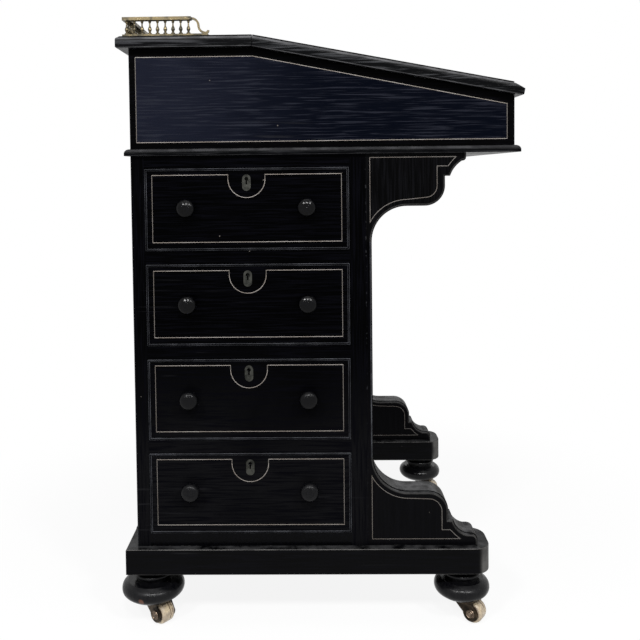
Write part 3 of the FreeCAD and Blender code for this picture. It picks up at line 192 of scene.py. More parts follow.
def makeHazeGroup():
    tree, given, end = newGroup("polishHaze", {"Vector": "Vector", "Along": "Vector", "Start": "Float",
                                               "Full": "Float"}, {"Haze": "Float"})
    reach = vectorCalc(tree, "DOT_PRODUCT", given["Vector"], given["Along"])
    amount = fade(tree, reach, given["Start"], given["Full"])
    noise = cloud(tree, given["Vector"], paintedReflectionValues["scale"], detail=4, distortion=0.5)
    patches = fade(tree, noise, *paintedReflectionValues["patches"])
    uneven = calc(tree, "MULTIPLY_ADD", patches, paintedReflectionValues["patchShare"], paintedReflectionValues["leastShare"])
    feed(tree, end, Haze=calc(tree, "MULTIPLY", amount, uneven))
    return tree


# pale flecks along the joint between two boards, not on the faces that the joint lies flat in
seamValues = {"width": (0.0012, 0.0004), "scale": 140, "flecks": (0.54, 0.7), "flat": 0.5}


def makeSeamGroup():
    tree, given, end = newGroup("seamFlecks", {"Vector": "Vector", "Normal": "Vector", "Along": "Vector",
                                               "At": "Float"}, {"Flecks": "Float"})
    reach = vectorCalc(tree, "DOT_PRODUCT", given["Vector"], given["Along"])
    facing = vectorCalc(tree, "DOT_PRODUCT", given["Normal"], given["Along"])
    aside = calc(tree, "LESS_THAN", calc(tree, "ABSOLUTE", facing), seamValues["flat"])
    gap = calc(tree, "ABSOLUTE", calc(tree, "SUBTRACT", reach, given["At"]))
    noise = cloud(tree, given["Vector"], seamValues["scale"], detail=6)
    flecks = fade(tree, noise, *seamValues["flecks"])
    near = calc(tree, "MULTIPLY", fade(tree, gap, *seamValues["width"]), aside)
    feed(tree, end, Flecks=calc(tree, "MULTIPLY", near, flecks))
    return tree


# where a point lies on a wheel: along its axle, and out from it
def makeWheelGroup():
    tree, given, end = newGroup("wheelPlace", {"Vector": "Vector", "Centre": "Vector", "Axle": "Vector"},
                                {"Across": "Float", "Out": "Float"})
    arm = vectorCalc(tree, "SUBTRACT", given["Vector"], given["Centre"])
    turned = vectorCalc(tree, "CROSS_PRODUCT", arm, given["Axle"])
    feed(tree, end, Across=vectorCalc(tree, "DOT_PRODUCT", arm, given["Axle"]),
         Out=vectorCalc(tree, "LENGTH", turned))
    return tree


# age on metal, glaze, leather and stringing: broad patches and fine specks
tarnishValues = {"fineScale": 9, "patches": (0.36, 0.64), "specks": (0.58, 0.7)}


def makeTarnishGroup():
    tree, given, end = newGroup("tarnish", {"Vector": "Vector", "Scale": "Float"},
                                {"Patches": "Float", "Specks": "Float"})
    broad = cloud(tree, given["Vector"], given["Scale"], detail=6, distortion=0.6)
    fineScale = calc(tree, "MULTIPLY", given["Scale"], tarnishValues["fineScale"])
    fine = cloud(tree, given["Vector"], fineScale, detail=3)
    feed(tree, end, Patches=fade(tree, broad, *tarnishValues["patches"]),
         Specks=fade(tree, fine, *tarnishValues["specks"]))
    return tree


# whether a point lies in a box, for the bare wood inside the desk and the field of the box sides
def makeInsideGroup():
    tree, given, end = newGroup("insideBox", {"Vector": "Vector", "Low": "Vector", "High": "Vector"},
                                {"Inside": "Float"})
    room = []
    for first, second in (("Vector", "Low"), ("High", "Vector")):
        room += axes(tree, vectorCalc(tree, "SUBTRACT", given[first], given[second]))[:3]
    least = room[0]
    for gap in room[1:]:
        least = calc(tree, "MINIMUM", least, gap)
    feed(tree, end, Inside=calc(tree, "GREATER_THAN", least, 0.0))
    return tree


grainGroup = makeGrainGroup()
edgeWearAndHighlightGroup = makeWearGroup()
knockGroup = makeKnockGroup()
dustAndSheenGroup = makeDustGroup()
paintedReflectionGroup = makeHazeGroup()
seamGroup = makeSeamGroup()
wheelGroup = makeWheelGroup()
tarnishGroup = makeTarnishGroup()
insideGroup = makeInsideGroup()
grainTurns = {"x": (0, 0, 0), "y": (0, 0, -math.pi / 2), "z": (0, math.pi / 2, 0)}
print("effects built")


def newMaterial(name, specular=0.5):
    material = bpy.data.materials.new(name)
    material.use_nodes = True
    tree = material.node_tree
    tree.nodes.clear()
    where = put(tree, "ShaderNodeTexCoord").outputs
    shader = put(tree, "ShaderNodeBsdfPrincipled", {"Specular IOR Level": specular})
    end = put(tree, "ShaderNodeOutputMaterial")
    tree.links.new(shader.outputs[0], end.inputs[0])
    return material, tree, where, shader


def relief(tree, shader, height, strength, distance):
    bump = put(tree, "ShaderNodeBump", {"Height": height, "Strength": strength, "Distance": distance})
    tree.links.new(bump.outputs[0], shader.inputs["Normal"])


def tint(red, green, blue):
    return (red, green, blue, 1)


# ebonised wood, and the bare lining wood that shows inside the boxes
blackWood = {
    "deep": tint(0.0002, 0.0002, 0.0003),
    "streak": tint(0.0012, 0.0012, 0.002),
    "streakFrom": (0.1, 1),
    "paintedReflectionColour": tint(0.0036, 0.0036, 0.0042),
    "paintedReflectionAlong": (0, 0, -1),
    "paintedReflectionFrom": (-0.44, -0.2),
    "rubbedAndHighlight": tint(0.06, 0.062, 0.07),
    "dullness": 0.1,
    "nick": tint(0.1, 0.09, 0.08),
    "scratch": tint(0.016, 0.016, 0.018),
    "dustAndSheen": tint(0.16, 0.16, 0.165),
    "roughness": 0.2,
    "wornRoughness": 0.25,
    "poreShare": 0.5,
    "seamShare": 0.3,
    "scratchShare": 0.7,
    "nickShare": 0.8,
    "figureRelief": 0.25,
    "relief": (0.3, 0.0004),
    "chips": (),
    "chipScale": 260,
    "chipEdge": (1.5, 1.1),
}
liningWood = {
    "dark": tint(0.085, 0.04, 0.018),
    "light": tint(0.21, 0.115, 0.055),
    "pore": tint(0.05, 0.023, 0.011),
    "toneShare": 0.35,
    "poreShare": 0.6,
    "knocks": 0.6,
    "roughness": 0.62,
    "roughSpread": 0.12,
    "specular": 0.3,
    "relief": (0.3, 0.0003),
    "underside": -0.5,
}
slack = Vector((0.0005, 0.0002, 0.0002))
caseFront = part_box("front_pilasters")[0].x
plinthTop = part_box("plinth_left_arm")[1].z
carcassLow = Vector((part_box("carcass_back_panel")[1].x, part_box("drawer_1_box")[0].y,
                     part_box("carcass_bottom")[0].z))
carcassHigh = Vector((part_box("carcass_front_panel")[0].x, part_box("carcass_right_panel")[0].y,
                      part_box("carcass_back_panel")[1].z))
wellLow = Vector((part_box("box_back")[1].x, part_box("box_back")[0].y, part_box("box_back")[0].z))
wellHigh = Vector((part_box("box_front")[0].x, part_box("box_back")[1].y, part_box("box_back")[1].z))
carcassRoom = (carcassLow - slack, carcassHigh + slack)
boxRoom = (wellLow - slack, wellHigh + slack)


def liningColour(tree, grain):
    colour = blendColour(tree, grain["Figure"], liningWood["dark"], liningWood["light"])
    colour = layOver(tree, grain["Tone"], liningWood["toneShare"], colour, liningWood["light"])
    return layOver(tree, grain["Pores"], liningWood["poreShare"], colour, liningWood["pore"])


# the field of a writing box side, within its stringing, carries the painted reflection and navy tint; the
# border outside it keeps the plain black, which serves as painted shade under the top and lid
def boxField(tree, place):
    low, high = boxFace["low"], boxFace["high"]
    inside = useGroup(tree, insideGroup, {"Vector": place, "Low": low, "High": high})["Inside"]
    spot = axes(tree, place)
    raised = calc(tree, "ADD", calc(tree, "MULTIPLY", spot[0], boxFace["fall"]), spot[2])
    return calc(tree, "MULTIPLY", inside, calc(tree, "LESS_THAN", raised, boxFace["ridge"]))


def ebonised(name, grainAxis, room=None, specular=0.05, wearAndHighlight=0.8, knocks=0.5, dustAndSheen=0.05, changes=None,
             field=None, seams=(), linedBelow=False):
    look = {**blackWood, **(changes or {})}
    material, tree, where, shader = newMaterial(name, specular)
    place = where["Object"]
    grain = useGroup(tree, grainGroup, {"Vector": stretch(tree, place, (1, 1, 1), grainTurns[grainAxis])})
    # edge mask: rubbed wear, and painted highlight on rounded edges and beads
    worn = useGroup(tree, edgeWearAndHighlightGroup, {"Vector": place, "Normal": where["Normal"]})["Wear"]
    marks = useGroup(tree, knockGroup, {"Vector": place, "Amount": knocks})
    dustAndSheenMask = useGroup(tree, dustAndSheenGroup, {"Vector": place, "Normal": where["Normal"]})["Dust"]
    # painted reflection: a lighter reflection colour laid on along one direction
    start, full = look["paintedReflectionFrom"]
    reflectionMask = useGroup(tree, paintedReflectionGroup, {"Vector": place, "Along": look["paintedReflectionAlong"], "Start": start,
                                       "Full": full})["Haze"]
    streaky = fade(tree, grain["Figure"], *look["streakFrom"])
    colour = blendColour(tree, reflectionMask, look["deep"], look["paintedReflectionColour"])
    colour = blendColour(tree, streaky, colour, look["streak"])
    colour = layOver(tree, grain["Pores"], look["poreShare"], colour, look["deep"])
    # the border outside the stringing keeps plain black, as painted shade under the top and lid
    if field:
        paintedShadeBorder = blendColour(tree, streaky, blackWood["deep"], blackWood["streak"])
        colour = blendColour(tree, field(tree, place), paintedShadeBorder, colour)
    # dust on upward faces, partly painted sheen
    colour = layOver(tree, dustAndSheenMask, dustAndSheen, colour, look["dustAndSheen"])
    # rubbed edges: wear, and painted highlight on rounded edges and beads
    colour = layOver(tree, worn, wearAndHighlight, colour, look["rubbedAndHighlight"])
    for along, at in seams:
        flecks = useGroup(tree, seamGroup, {"Vector": place, "Normal": where["Normal"], "Along": along,
                                            "At": at})["Flecks"]
        colour = layOver(tree, flecks, look["seamShare"], colour, look["rubbedAndHighlight"])
    colour = layOver(tree, marks["Scratches"], look["scratchShare"], colour, look["scratch"])
    colour = layOver(tree, marks["Nicks"], look["nickShare"], colour, look["nick"])
    for middle, reach, chipColour in look["chips"]:
        gap = vectorCalc(tree, "DISTANCE", place, middle)
        ragged = calc(tree, "MULTIPLY", cloud(tree, place, look["chipScale"], detail=4), reach)
        outer, inner = look["chipEdge"]
        chip = fade(tree, calc(tree, "ADD", gap, ragged), reach * outer, reach * inner)
        colour = blendColour(tree, chip, colour, chipColour)
    rubbedDull = calc(tree, "MULTIPLY", worn, look["wornRoughness"])
    dull = calc(tree, "ADD", rubbedDull, calc(tree, "MULTIPLY", grain["Tone"], look["dullness"]))
    roughness = calc(tree, "ADD", dull, look["roughness"])
    if room:
        inside = useGroup(tree, insideGroup, {"Vector": place, "Low": room[0], "High": room[1]})["Inside"]
        if linedBelow:
            facesDown = calc(tree, "LESS_THAN", axes(tree, where["Normal"])[2], liningWood["underside"])
            inside = calc(tree, "MULTIPLY", inside, facesDown)
        colour = blendColour(tree, inside, colour, liningColour(tree, grain))
        rough = put(tree, "ShaderNodeMix", {0: inside, 2: roughness, 3: liningWood["roughness"]})
        roughness = rough.outputs[0]
    feed(tree, shader, **{"Base Color": colour, "Roughness": roughness})
    hollow = calc(tree, "ADD", calc(tree, "MULTIPLY", grain["Pores"], look["poreShare"]), marks["Nicks"])
    raised = calc(tree, "MULTIPLY", grain["Figure"], look["figureRelief"])
    relief(tree, shader, calc(tree, "SUBTRACT", raised, hollow), *look["relief"])
    return material


def bareWood(name, grainAxis):
    material, tree, where, shader = newMaterial(name, liningWood["specular"])
    place = where["Object"]
    grain = useGroup(tree, grainGroup, {"Vector": stretch(tree, place, (1, 1, 1), grainTurns[grainAxis])})
    marks = useGroup(tree, knockGroup, {"Vector": place, "Amount": liningWood["knocks"]})
    colour = blendColour(tree, marks["Scratches"], liningColour(tree, grain), liningWood["pore"])
    spread = liningWood["roughSpread"]
    rough = calc(tree, "MULTIPLY_ADD", grain["Figure"], spread, liningWood["roughness"] - spread / 2)
    feed(tree, shader, **{"Base Color": colour, "Roughness": rough})
    relief(tree, shader, calc(tree, "SUBTRACT", grain["Figure"], grain["Pores"]), *liningWood["relief"])
    return material


# stringing line of the writing box sides, in from their edges, and the field inside it
boxLine = {"back": 0.0092, "top": 0.0115, "front": 0.0102, "bottom": 0.0087, "knee": 0.175,
           "frontRise": 0.0583}
boxLow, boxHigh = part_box("box_left_side")
boxKnee = Vector((boxLow.x + boxLine["knee"], 0, boxHigh.z - boxLine["top"]))
boxEnd = Vector((boxHigh.x - boxLine["front"], 0, boxLow.z + boxLine["frontRise"]))
boxFall = (boxKnee.z - boxEnd.z) / (boxEnd.x - boxKnee.x)
boxFace = {
    "low": Vector((boxLow.x + boxLine["back"], -1, boxLow.z + boxLine["bottom"])),
    "high": Vector((boxEnd.x, 1, boxKnee.z)),
    "fall": boxFall,
    "ridge": boxKnee.z + boxFall * boxKnee.x,
}

# finishes of the black pieces
rearFoot = joints["rear_left_swivel"]["pos_m"]
# the navy tint in the writing box's deep, streak and reflection colours is a painted bluish reflection
boxLook = {"deep": tint(0.0006, 0.0011, 0.0032), "streak": tint(0.0135, 0.0148, 0.0215),
           "paintedReflectionColour": tint(0.0058, 0.0068, 0.0125), "paintedReflectionAlong": (-1, 0, 0), "paintedReflectionFrom": (-0.04, 0.25),
           "streakFrom": (0.36, 1.25), "roughness": 0.3}
edgeLook = {"deep": tint(0.0006, 0.0007, 0.001), "streak": tint(0.036, 0.037, 0.04),
            "streakFrom": (0.4, 1.15), "paintedReflectionColour": tint(0.0014, 0.0014, 0.0018),
            "rubbedAndHighlight": tint(0.075, 0.075, 0.078), "roughness": 0.26}
plinthLook = {"rubbedAndHighlight": tint(0.085, 0.083, 0.08), "roughness": 0.16, "paintedReflectionColour": tint(0.0008, 0.0008, 0.001)}
mouldLook = {**edgeLook, "streak": tint(0.012, 0.0123, 0.0135), "rubbedAndHighlight": tint(0.034, 0.034, 0.036)}
bracketLook = {"deep": tint(0.0003, 0.0003, 0.0004), "streak": tint(0.0022, 0.0022, 0.0028),
               "roughness": 0.22, "paintedReflectionColour": tint(0.0018, 0.0018, 0.0022), "rubbedAndHighlight": tint(0.04, 0.039, 0.038)}
knobLook = {"roughness": 0.05, "dullness": 0.02}
footLook = {"roughness": 0.08, "dullness": 0.06, "chips": (
    (Vector((rearFoot[0] - 0.0095, rearFoot[1] - 0.041, 0.0455)), 0.0056, tint(0.1, 0.047, 0.032)),
)}
boardJoints = (((1, 0, 0), caseFront), ((0, 0, 1), plinthTop))
drawerBlack = ebonised("ebonisedDrawer", "x", carcassRoom, specular=0.01, knocks=0.35)
sideBlack = ebonised("ebonisedBoxSide", "x", boxRoom, specular=0.015, changes=boxLook, field=boxField)
endBlack = ebonised("ebonisedBoxEnd", "y", boxRoom, specular=0.015, changes=boxLook)
topBlack = ebonised("ebonisedTop", "x", boxRoom, specular=0.04, wearAndHighlight=1, dustAndSheen=0.06, changes=edgeLook,
                    linedBelow=True)
mouldBlack = ebonised("ebonisedMoulding", "x", boxRoom, specular=0.025, wearAndHighlight=1, changes=mouldLook)
uprightBlack = ebonised("ebonisedUpright", "z", carcassRoom, specular=0.012, seams=boardJoints)
bracketBlack = ebonised("ebonisedBracket", "z", specular=0.025, wearAndHighlight=0.9, dustAndSheen=0.5, changes=bracketLook,
                        seams=boardJoints)
plinthBlack = ebonised("ebonisedPlinth", "x", specular=0.05, wearAndHighlight=1, dustAndSheen=0.2, changes=plinthLook)
crossBlack = ebonised("ebonisedCross", "y", specular=0.05, wearAndHighlight=1, dustAndSheen=0.2, changes=plinthLook,
                      seams=boardJoints[1:])
knobBlack = ebonised("ebonisedKnob", "y", specular=0.12, wearAndHighlight=0, knocks=0.2, dustAndSheen=0, changes=knobLook)
footBlack = ebonised("ebonisedFoot", "z", specular=0.16, wearAndHighlight=0, knocks=0.9, dustAndSheen=0, changes=footLook)
drawerLining = bareWood("drawerLining", "y")
nestLining = bareWood("nestLining", "y")
runnerLining = bareWood("runnerLining", "y")


# metals
metals = {
    "galleryBrass": {"clean": tint(0.17, 0.135, 0.075), "dull": tint(0.042, 0.039, 0.03),
                     "spot": tint(0.02, 0.019, 0.014), "scale": 55, "amount": 0.95, "rough": (0.3, 0.55)},
    "hingeBrass": {"clean": tint(0.5, 0.36, 0.15), "dull": tint(0.17, 0.11, 0.05),
                   "spot": tint(0.05, 0.035, 0.02), "scale": 70, "amount": 0.8, "rough": (0.24, 0.5)},
    "lockMetal": {"clean": tint(0.06, 0.061, 0.054), "dull": tint(0.012, 0.0125, 0.0115),
                  "spot": tint(0.012, 0.012, 0.01), "scale": 150, "amount": 0.8, "rough": (0.34, 0.55)},
    "casterBronze": {"clean": tint(0.06, 0.045, 0.03), "dull": tint(0.012, 0.0105, 0.009),
                     "spot": tint(0.055, 0.03, 0.015), "scale": 60, "amount": 0.9, "rough": (0.35, 0.65)},
    "axleBrass": {"clean": tint(0.2, 0.15, 0.11), "dull": tint(0.045, 0.033, 0.026),
                  "spot": tint(0.04, 0.03, 0.02), "scale": 200, "amount": 0.7, "rough": (0.3, 0.5)},
    "toolingGilt": {"clean": tint(0.52, 0.36, 0.12), "dull": tint(0.2, 0.13, 0.05),
                    "spot": tint(0.03, 0.028, 0.02), "scale": 60, "amount": 0.8, "rough": (0.32, 0.55)},
}
metalAge = {"knocks": 0.7, "spotShare": 0.7, "scratchShare": 0.5, "spotDullness": 0.6,
            "relief": (0.25, 0.0003)}


def oldMetal(name):
    look = metals[name]
    material, tree, where, shader = newMaterial(name)
    film = useGroup(tree, tarnishGroup, {"Vector": where["Object"], "Scale": look["scale"]})
    marks = useGroup(tree, knockGroup, {"Vector": where["Object"], "Amount": metalAge["knocks"]})
    dulled = calc(tree, "MULTIPLY", film["Patches"], look["amount"])
    colour = blendColour(tree, dulled, look["clean"], look["dull"])
    colour = layOver(tree, film["Specks"], metalAge["spotShare"], colour, look["spot"])
    colour = layOver(tree, marks["Scratches"], metalAge["scratchShare"], colour, look["clean"])
    low, high = look["rough"]
    rough = put(tree, "ShaderNodeMix", {0: dulled, 2: low, 3: high}).outputs[0]
    metal = calc(tree, "SUBTRACT", 1.0, calc(tree, "MULTIPLY", film["Specks"], metalAge["spotDullness"]))
    feed(tree, shader, **{"Base Color": colour, "Roughness": rough, "Metallic": metal})
    relief(tree, shader, film["Specks"], *metalAge["relief"])
    return material


metalLooks = {name: oldMetal(name) for name in metals}


# crazed, stained porcelain of the caster wheels
porcelain = {
    "glaze": tint(0.56, 0.46, 0.31),
    "grey": tint(0.33, 0.27, 0.2),
    "stain": tint(0.07, 0.035, 0.015),
    "craze": tint(0.2, 0.13, 0.07),
    "hub": tint(0.03, 0.017, 0.01),
    "filmScale": 70,
    "crazeScale": 190,
    "crazeWidth": (0.05, 0.012),
    "crazeShare": 0.5,
    "bendScale": 120,
    "bendReach": 0.004,
    "raggedScale": 150,
    "ragged": 0.007,
    "bands": ((0.0022, 0.0013), (0.0062, 0.0009)),
    "bandEdge": 0.3,
    "bandShare": 0.8,
    "hubReach": 0.0128,
    "hubEdge": 0.8,
    "faceAt": 0.0095,
    "roughness": 0.2,
    "roughSpread": 0.25,
    "relief": (0.3, -0.0002),
}


# a small uneven shift, so that the crazing doesn't run straight
def unevenShift(tree, vector):
    inputs = {"Vector": vector, "Scale": porcelain["bendScale"], "Detail": 2}
    noise = put(tree, "ShaderNodeTexNoise", inputs).outputs["Color"]
    scaled = {0: noise, "Scale": porcelain["bendReach"]}
    return put(tree, "ShaderNodeVectorMath", scaled, operation="SCALE").outputs[0]


def makePorcelain(corner):
    material, tree, where, shader = newMaterial(corner + "Porcelain")
    axle, place = joints[corner + "_roll"], where["Object"]
    spot = useGroup(tree, wheelGroup, {"Vector": place, "Centre": axle["pos_m"], "Axle": axle["axis"]})
    film = useGroup(tree, tarnishGroup, {"Vector": place, "Scale": porcelain["filmScale"]})
    bent = vectorCalc(tree, "ADD", place, unevenShift(tree, place))
    cells = put(tree, "ShaderNodeTexVoronoi", {"Vector": bent, "Scale": porcelain["crazeScale"]},
                feature="DISTANCE_TO_EDGE")
    crack = fade(tree, cells.outputs["Distance"], *porcelain["crazeWidth"])
    uneven = calc(tree, "SUBTRACT", cloud(tree, place, porcelain["raggedScale"], detail=4), 0.5)
    ragged = calc(tree, "MULTIPLY", uneven, porcelain["ragged"])
    across = calc(tree, "ADD", spot["Across"], ragged)
    colour = blendColour(tree, film["Patches"], porcelain["glaze"], porcelain["grey"])
    colour = layOver(tree, crack, porcelain["crazeShare"], colour, porcelain["craze"])
    for middle, width in porcelain["bands"]:
        gap = calc(tree, "ABSOLUTE", calc(tree, "SUBTRACT", across, middle))
        band = fade(tree, gap, width, width * porcelain["bandEdge"])
        colour = layOver(tree, band, porcelain["bandShare"], colour, porcelain["stain"])
    hubReach = porcelain["hubReach"]
    out = calc(tree, "ADD", spot["Out"], ragged)
    nearHub = fade(tree, out, hubReach, hubReach * porcelain["hubEdge"])
    onFace = calc(tree, "GREATER_THAN", calc(tree, "ABSOLUTE", spot["Across"]), porcelain["faceAt"])
    colour = layOver(tree, nearHub, onFace, colour, porcelain["hub"])
    rough = calc(tree, "MULTIPLY_ADD", film["Patches"], porcelain["roughSpread"], porcelain["roughness"])
    feed(tree, shader, **{"Base Color": colour, "Roughness": rough})
    relief(tree, shader, crack, *porcelain["relief"])
    return material


# writing leather
leather = {
    "base": tint(0.016, 0.02, 0.017),
    "worn": tint(0.05, 0.047, 0.038),
    "crease": tint(0.006, 0.007, 0.006),
    "creaseFade": (0.45, 0.8),
    "filmScale": 9,
    "pebbleScale": 900,
    "knocks": 0.8,
    "wornShare": 0.5,
    "roughness": 0.42,
    "roughSpread": 0.15,
    "specular": 0.3,
    "relief": (0.35, -0.0003),
}


def makeLeather():
    material, tree, where, shader = newMaterial("writingLeather", leather["specular"])
    place = where["Object"]
    film = useGroup(tree, tarnishGroup, {"Vector": place, "Scale": leather["filmScale"]})
    marks = useGroup(tree, knockGroup, {"Vector": place, "Amount": leather["knocks"]})
    pebble = put(tree, "ShaderNodeTexVoronoi", {"Vector": place, "Scale": leather["pebbleScale"]},
                 feature="SMOOTH_F1").outputs["Distance"]
    colour = layOver(tree, film["Patches"], leather["wornShare"], leather["base"], leather["worn"])
    colour = blendColour(tree, fade(tree, pebble, *leather["creaseFade"]), colour, leather["crease"])
    colour = layOver(tree, marks["Scratches"], leather["wornShare"], colour, leather["worn"])
    rough = calc(tree, "MULTIPLY_ADD", film["Patches"], leather["roughSpread"], leather["roughness"])
    feed(tree, shader, **{"Base Color": colour, "Roughness": rough})
    relief(tree, shader, pebble, *leather["relief"])
    return material


deskLeather = makeLeather()


# pale stringing let into the black wood
boxwood = {
    "pale": tint(0.225, 0.208, 0.193),
    "tan": tint(0.155, 0.134, 0.116),
    "grime": tint(0.035, 0.031, 0.028),
    "worn": 0.4,
    "filmScale": 24,
    "grimeShare": 0.25,
    "roughness": 0.4,
    "roughSpread": 0.15,
    "specular": 0.2,
    "relief": (0.2, -0.0001),
}


def makeStringing(name, share):
    material, tree, where, shader = newMaterial(name, boxwood["specular"])
    film = useGroup(tree, tarnishGroup, {"Vector": where["Object"], "Scale": boxwood["filmScale"]})
    colour = blendColour(tree, film["Patches"], boxwood["pale"], boxwood["tan"])
    colour = layOver(tree, film["Specks"], boxwood["grimeShare"], colour, boxwood["grime"])
    colour = blendColour(tree, share, boxwood["grime"], colour)
    rough = calc(tree, "MULTIPLY_ADD", film["Patches"], boxwood["roughSpread"], boxwood["roughness"])
    feed(tree, shader, **{"Base Color": colour, "Roughness": rough})
    relief(tree, shader, film["Specks"], *boxwood["relief"])
    return material


paleStringing = makeStringing("boxwoodStringing", 1.0)
wornStringing = makeStringing("wornStringing", boxwood["worn"])
print("materials built")


# each solid of the frame gets its finish
drawerLevels = range(1, 5)
finishes = {
    drawerBlack: ["false_drawer_fronts", "drawer_rails"],
    uprightBlack: ["carcass_back_panel", "carcass_front_panel", "carcass_right_panel", "front_pilasters"],
    bracketBlack: ["upper_brackets", "lower_brackets"],
    plinthBlack: ["plinth_left_arm", "plinth_right_arm"],
    crossBlack: ["plinth_cross_rails", "carcass_bottom"],
    sideBlack: ["box_left_side", "box_right_side"],
    endBlack: ["box_back", "box_front"],
    topBlack: ["flat_top", "lid"],
    mouldBlack: ["box_bottom"],
    knobBlack: ["false_drawer_knobs"],
    footBlack: ["bun_feet"],
    drawerLining: [f"drawer_{level}_box" for level in drawerLevels],
    runnerLining: ["drawer_runners"],
    nestLining: ["stationery_nest"],
    deskLeather: ["lid_leather"],
    metalLooks["galleryBrass"]: ["gallery_rails", "gallery_balusters"],
    metalLooks["hingeBrass"]: ["hinge_fixed_leaves", "hinge_lid_leaves"],
    metalLooks["lockMetal"]: ["lid_lock", "lid_lock_bolt"],
    metalLooks["casterBronze"]: ["caster_plates"],
}
corners = ("front_left", "rear_left", "front_right", "rear_right")
for corner in corners:
    finishes[metalLooks["casterBronze"]].append(corner + "_caster_fork")
    finishes[makePorcelain(corner)] = [corner + "_caster_wheel"]
for level in drawerLevels:
    finishes[drawerBlack].append(f"drawer_{level}_front")
    finishes[knobBlack].append(f"drawer_{level}_knobs")
    finishes[metalLooks["lockMetal"]] += [f"drawer_{level}_lock", f"drawer_{level}_lock_bolt"]
for material, names in finishes.items():
    for name in names:
        for materialSlot in cadNodes[name].material_slots:
            materialSlot.material = material
print("finishes set on", sum(len(names) for names in finishes.values()), "nodes")


# modelling helpers: outlines are drawn in the XZ plane with a pen that drags a vertex along
def startPen(mesh, x, z):
    return mesh.verts.new((x, 0, z))


def lineTo(mesh, pen, x, z):
    end = bmesh.ops.extrude_vert_indiv(mesh, verts=[pen])["verts"][0]
    end.co = (x, 0, z)
    return end


def arcTo(mesh, pen, x, z, degrees, steps):
    swept = bmesh.ops.spin(mesh, geom=[pen], cent=(x, 0, z), axis=(0, 1, 0), angle=math.radians(degrees),
                           steps=steps)
    return [item for item in swept["geom_last"] if isinstance(item, bmesh.types.BMVert)][0]


# closes the outline and leaves a strip of it, sunk a little way into the wood
def cutStrip(mesh, pen, first, width, sink, proud):
    mesh.edges.new((pen, first))
    loop = [edge for edge in mesh.edges if not edge.link_faces]
    middle = bmesh.ops.contextual_create(mesh, geom=loop)["faces"][0]
    rim = bmesh.ops.inset_region(mesh, faces=[middle], thickness=width, use_even_offset=True,
                                 use_boundary=True)["faces"]
    bmesh.ops.delete(mesh, geom=[middle], context="FACES")
    bmesh.ops.translate(mesh, verts=list({vert for face in rim for vert in face.verts}), vec=(0, sink, 0))
    raised = bmesh.ops.extrude_face_region(mesh, geom=rim)["geom"]
    bmesh.ops.translate(mesh, verts=[item for item in raised if isinstance(item, bmesh.types.BMVert)],
                        vec=(0, -sink - proud, 0))


# makes a piece of the mesh; its upright lines can have a material of their own
pieceValues = {"uprightRatio": 3, "weld": 1e-6}


def finishPiece(mesh, name, material, body, place=None, upright=None):
    for face in mesh.faces:
        spread = [max(vert.co[axis] for vert in face.verts) - min(vert.co[axis] for vert in face.verts)
                  for axis in (0, 2)]
        tall = spread[1] > pieceValues["uprightRatio"] * spread[0]
        face.material_index = 1 if upright and tall else 0
    if place:
        bmesh.ops.transform(mesh, matrix=place, verts=mesh.verts[:])
    bmesh.ops.remove_doubles(mesh, verts=mesh.verts[:], dist=pieceValues["weld"])
    bmesh.ops.recalc_face_normals(mesh, faces=mesh.faces[:])
    data = bpy.data.meshes.new(name)
    mesh.to_mesh(data)
    mesh.free()
    data.materials.append(material)
    if upright:
        data.materials.append(upright)
    piece = bpy.data.objects.new(name, data)
    bpy.context.scene.collection.objects.link(piece)
    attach(piece, body)
    return piece


def onLeft(face):
    return Matrix.Translation((0, face, 0))


def onRight(face):
    return Matrix.Translation((0, face, 0)) @ Matrix.Scale(-1, 4, (0, 1, 0))


# stringing of the drawers: a line that drops in a half round below the keyhole
stringing = {
    "width": 0.00088,
    "sink": 0.0002,
    "proud": 0.00008,
    "bead": 0.002,
}
drawerLine = {
    "sides": 0.010,
    "top": 0.0088,
    "bottom": 0.0113,
    "dropRadius": 0.0258,
    "dropDepth": 0.0325,
    "steps": 28,
}


def stripCut(mesh, pen, first):
    cutStrip(mesh, pen, first, stringing["width"], stringing["sink"], stringing["proud"])


def drawDrawerLine(mesh, low, high):
    left, right = low.x + drawerLine["sides"], high.x - drawerLine["sides"]
    bottom, top = low.z + drawerLine["bottom"], high.z - drawerLine["top"]
    middle, radius = (low.x + high.x) / 2, drawerLine["dropRadius"]
    turn = top - drawerLine["dropDepth"] + radius
    first = startPen(mesh, left, top)
    pen = lineTo(mesh, first, middle - radius, top)
    pen = lineTo(mesh, pen, middle - radius, turn)
    pen = arcTo(mesh, pen, middle, turn, -180, drawerLine["steps"])
    pen = lineTo(mesh, pen, middle + radius, top)
    pen = lineTo(mesh, pen, right, top)
    pen = lineTo(mesh, pen, right, bottom)
    pen = lineTo(mesh, pen, left, bottom)
    stripCut(mesh, pen, first)


falseLines = bmesh.new()
for level in drawerLevels:
    low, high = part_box(f"drawer_{level}_front")
    mesh = bmesh.new()
    drawDrawerLine(mesh, low, high)
    drawDrawerLine(falseLines, low, high)
    finishPiece(mesh, f"drawer_{level}_stringing", paleStringing, f"drawer_{level}",
                onLeft(low.y + stringing["bead"]), wornStringing)
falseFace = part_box("false_drawer_fronts")[1].y - stringing["bead"]
finishPiece(falseLines, "false_drawer_stringing", paleStringing, "case", onRight(falseFace),
            wornStringing)


# stringing of the writing box sides
def drawBoxLine(mesh):
    low, high = boxFace["low"], boxFace["high"]
    first = startPen(mesh, low.x, low.z)
    pen = lineTo(mesh, first, low.x, high.z)
    pen = lineTo(mesh, pen, boxKnee.x, boxKnee.z)
    pen = lineTo(mesh, pen, boxEnd.x, boxEnd.z)
    pen = lineTo(mesh, pen, high.x, low.z)
    stripCut(mesh, pen, first)


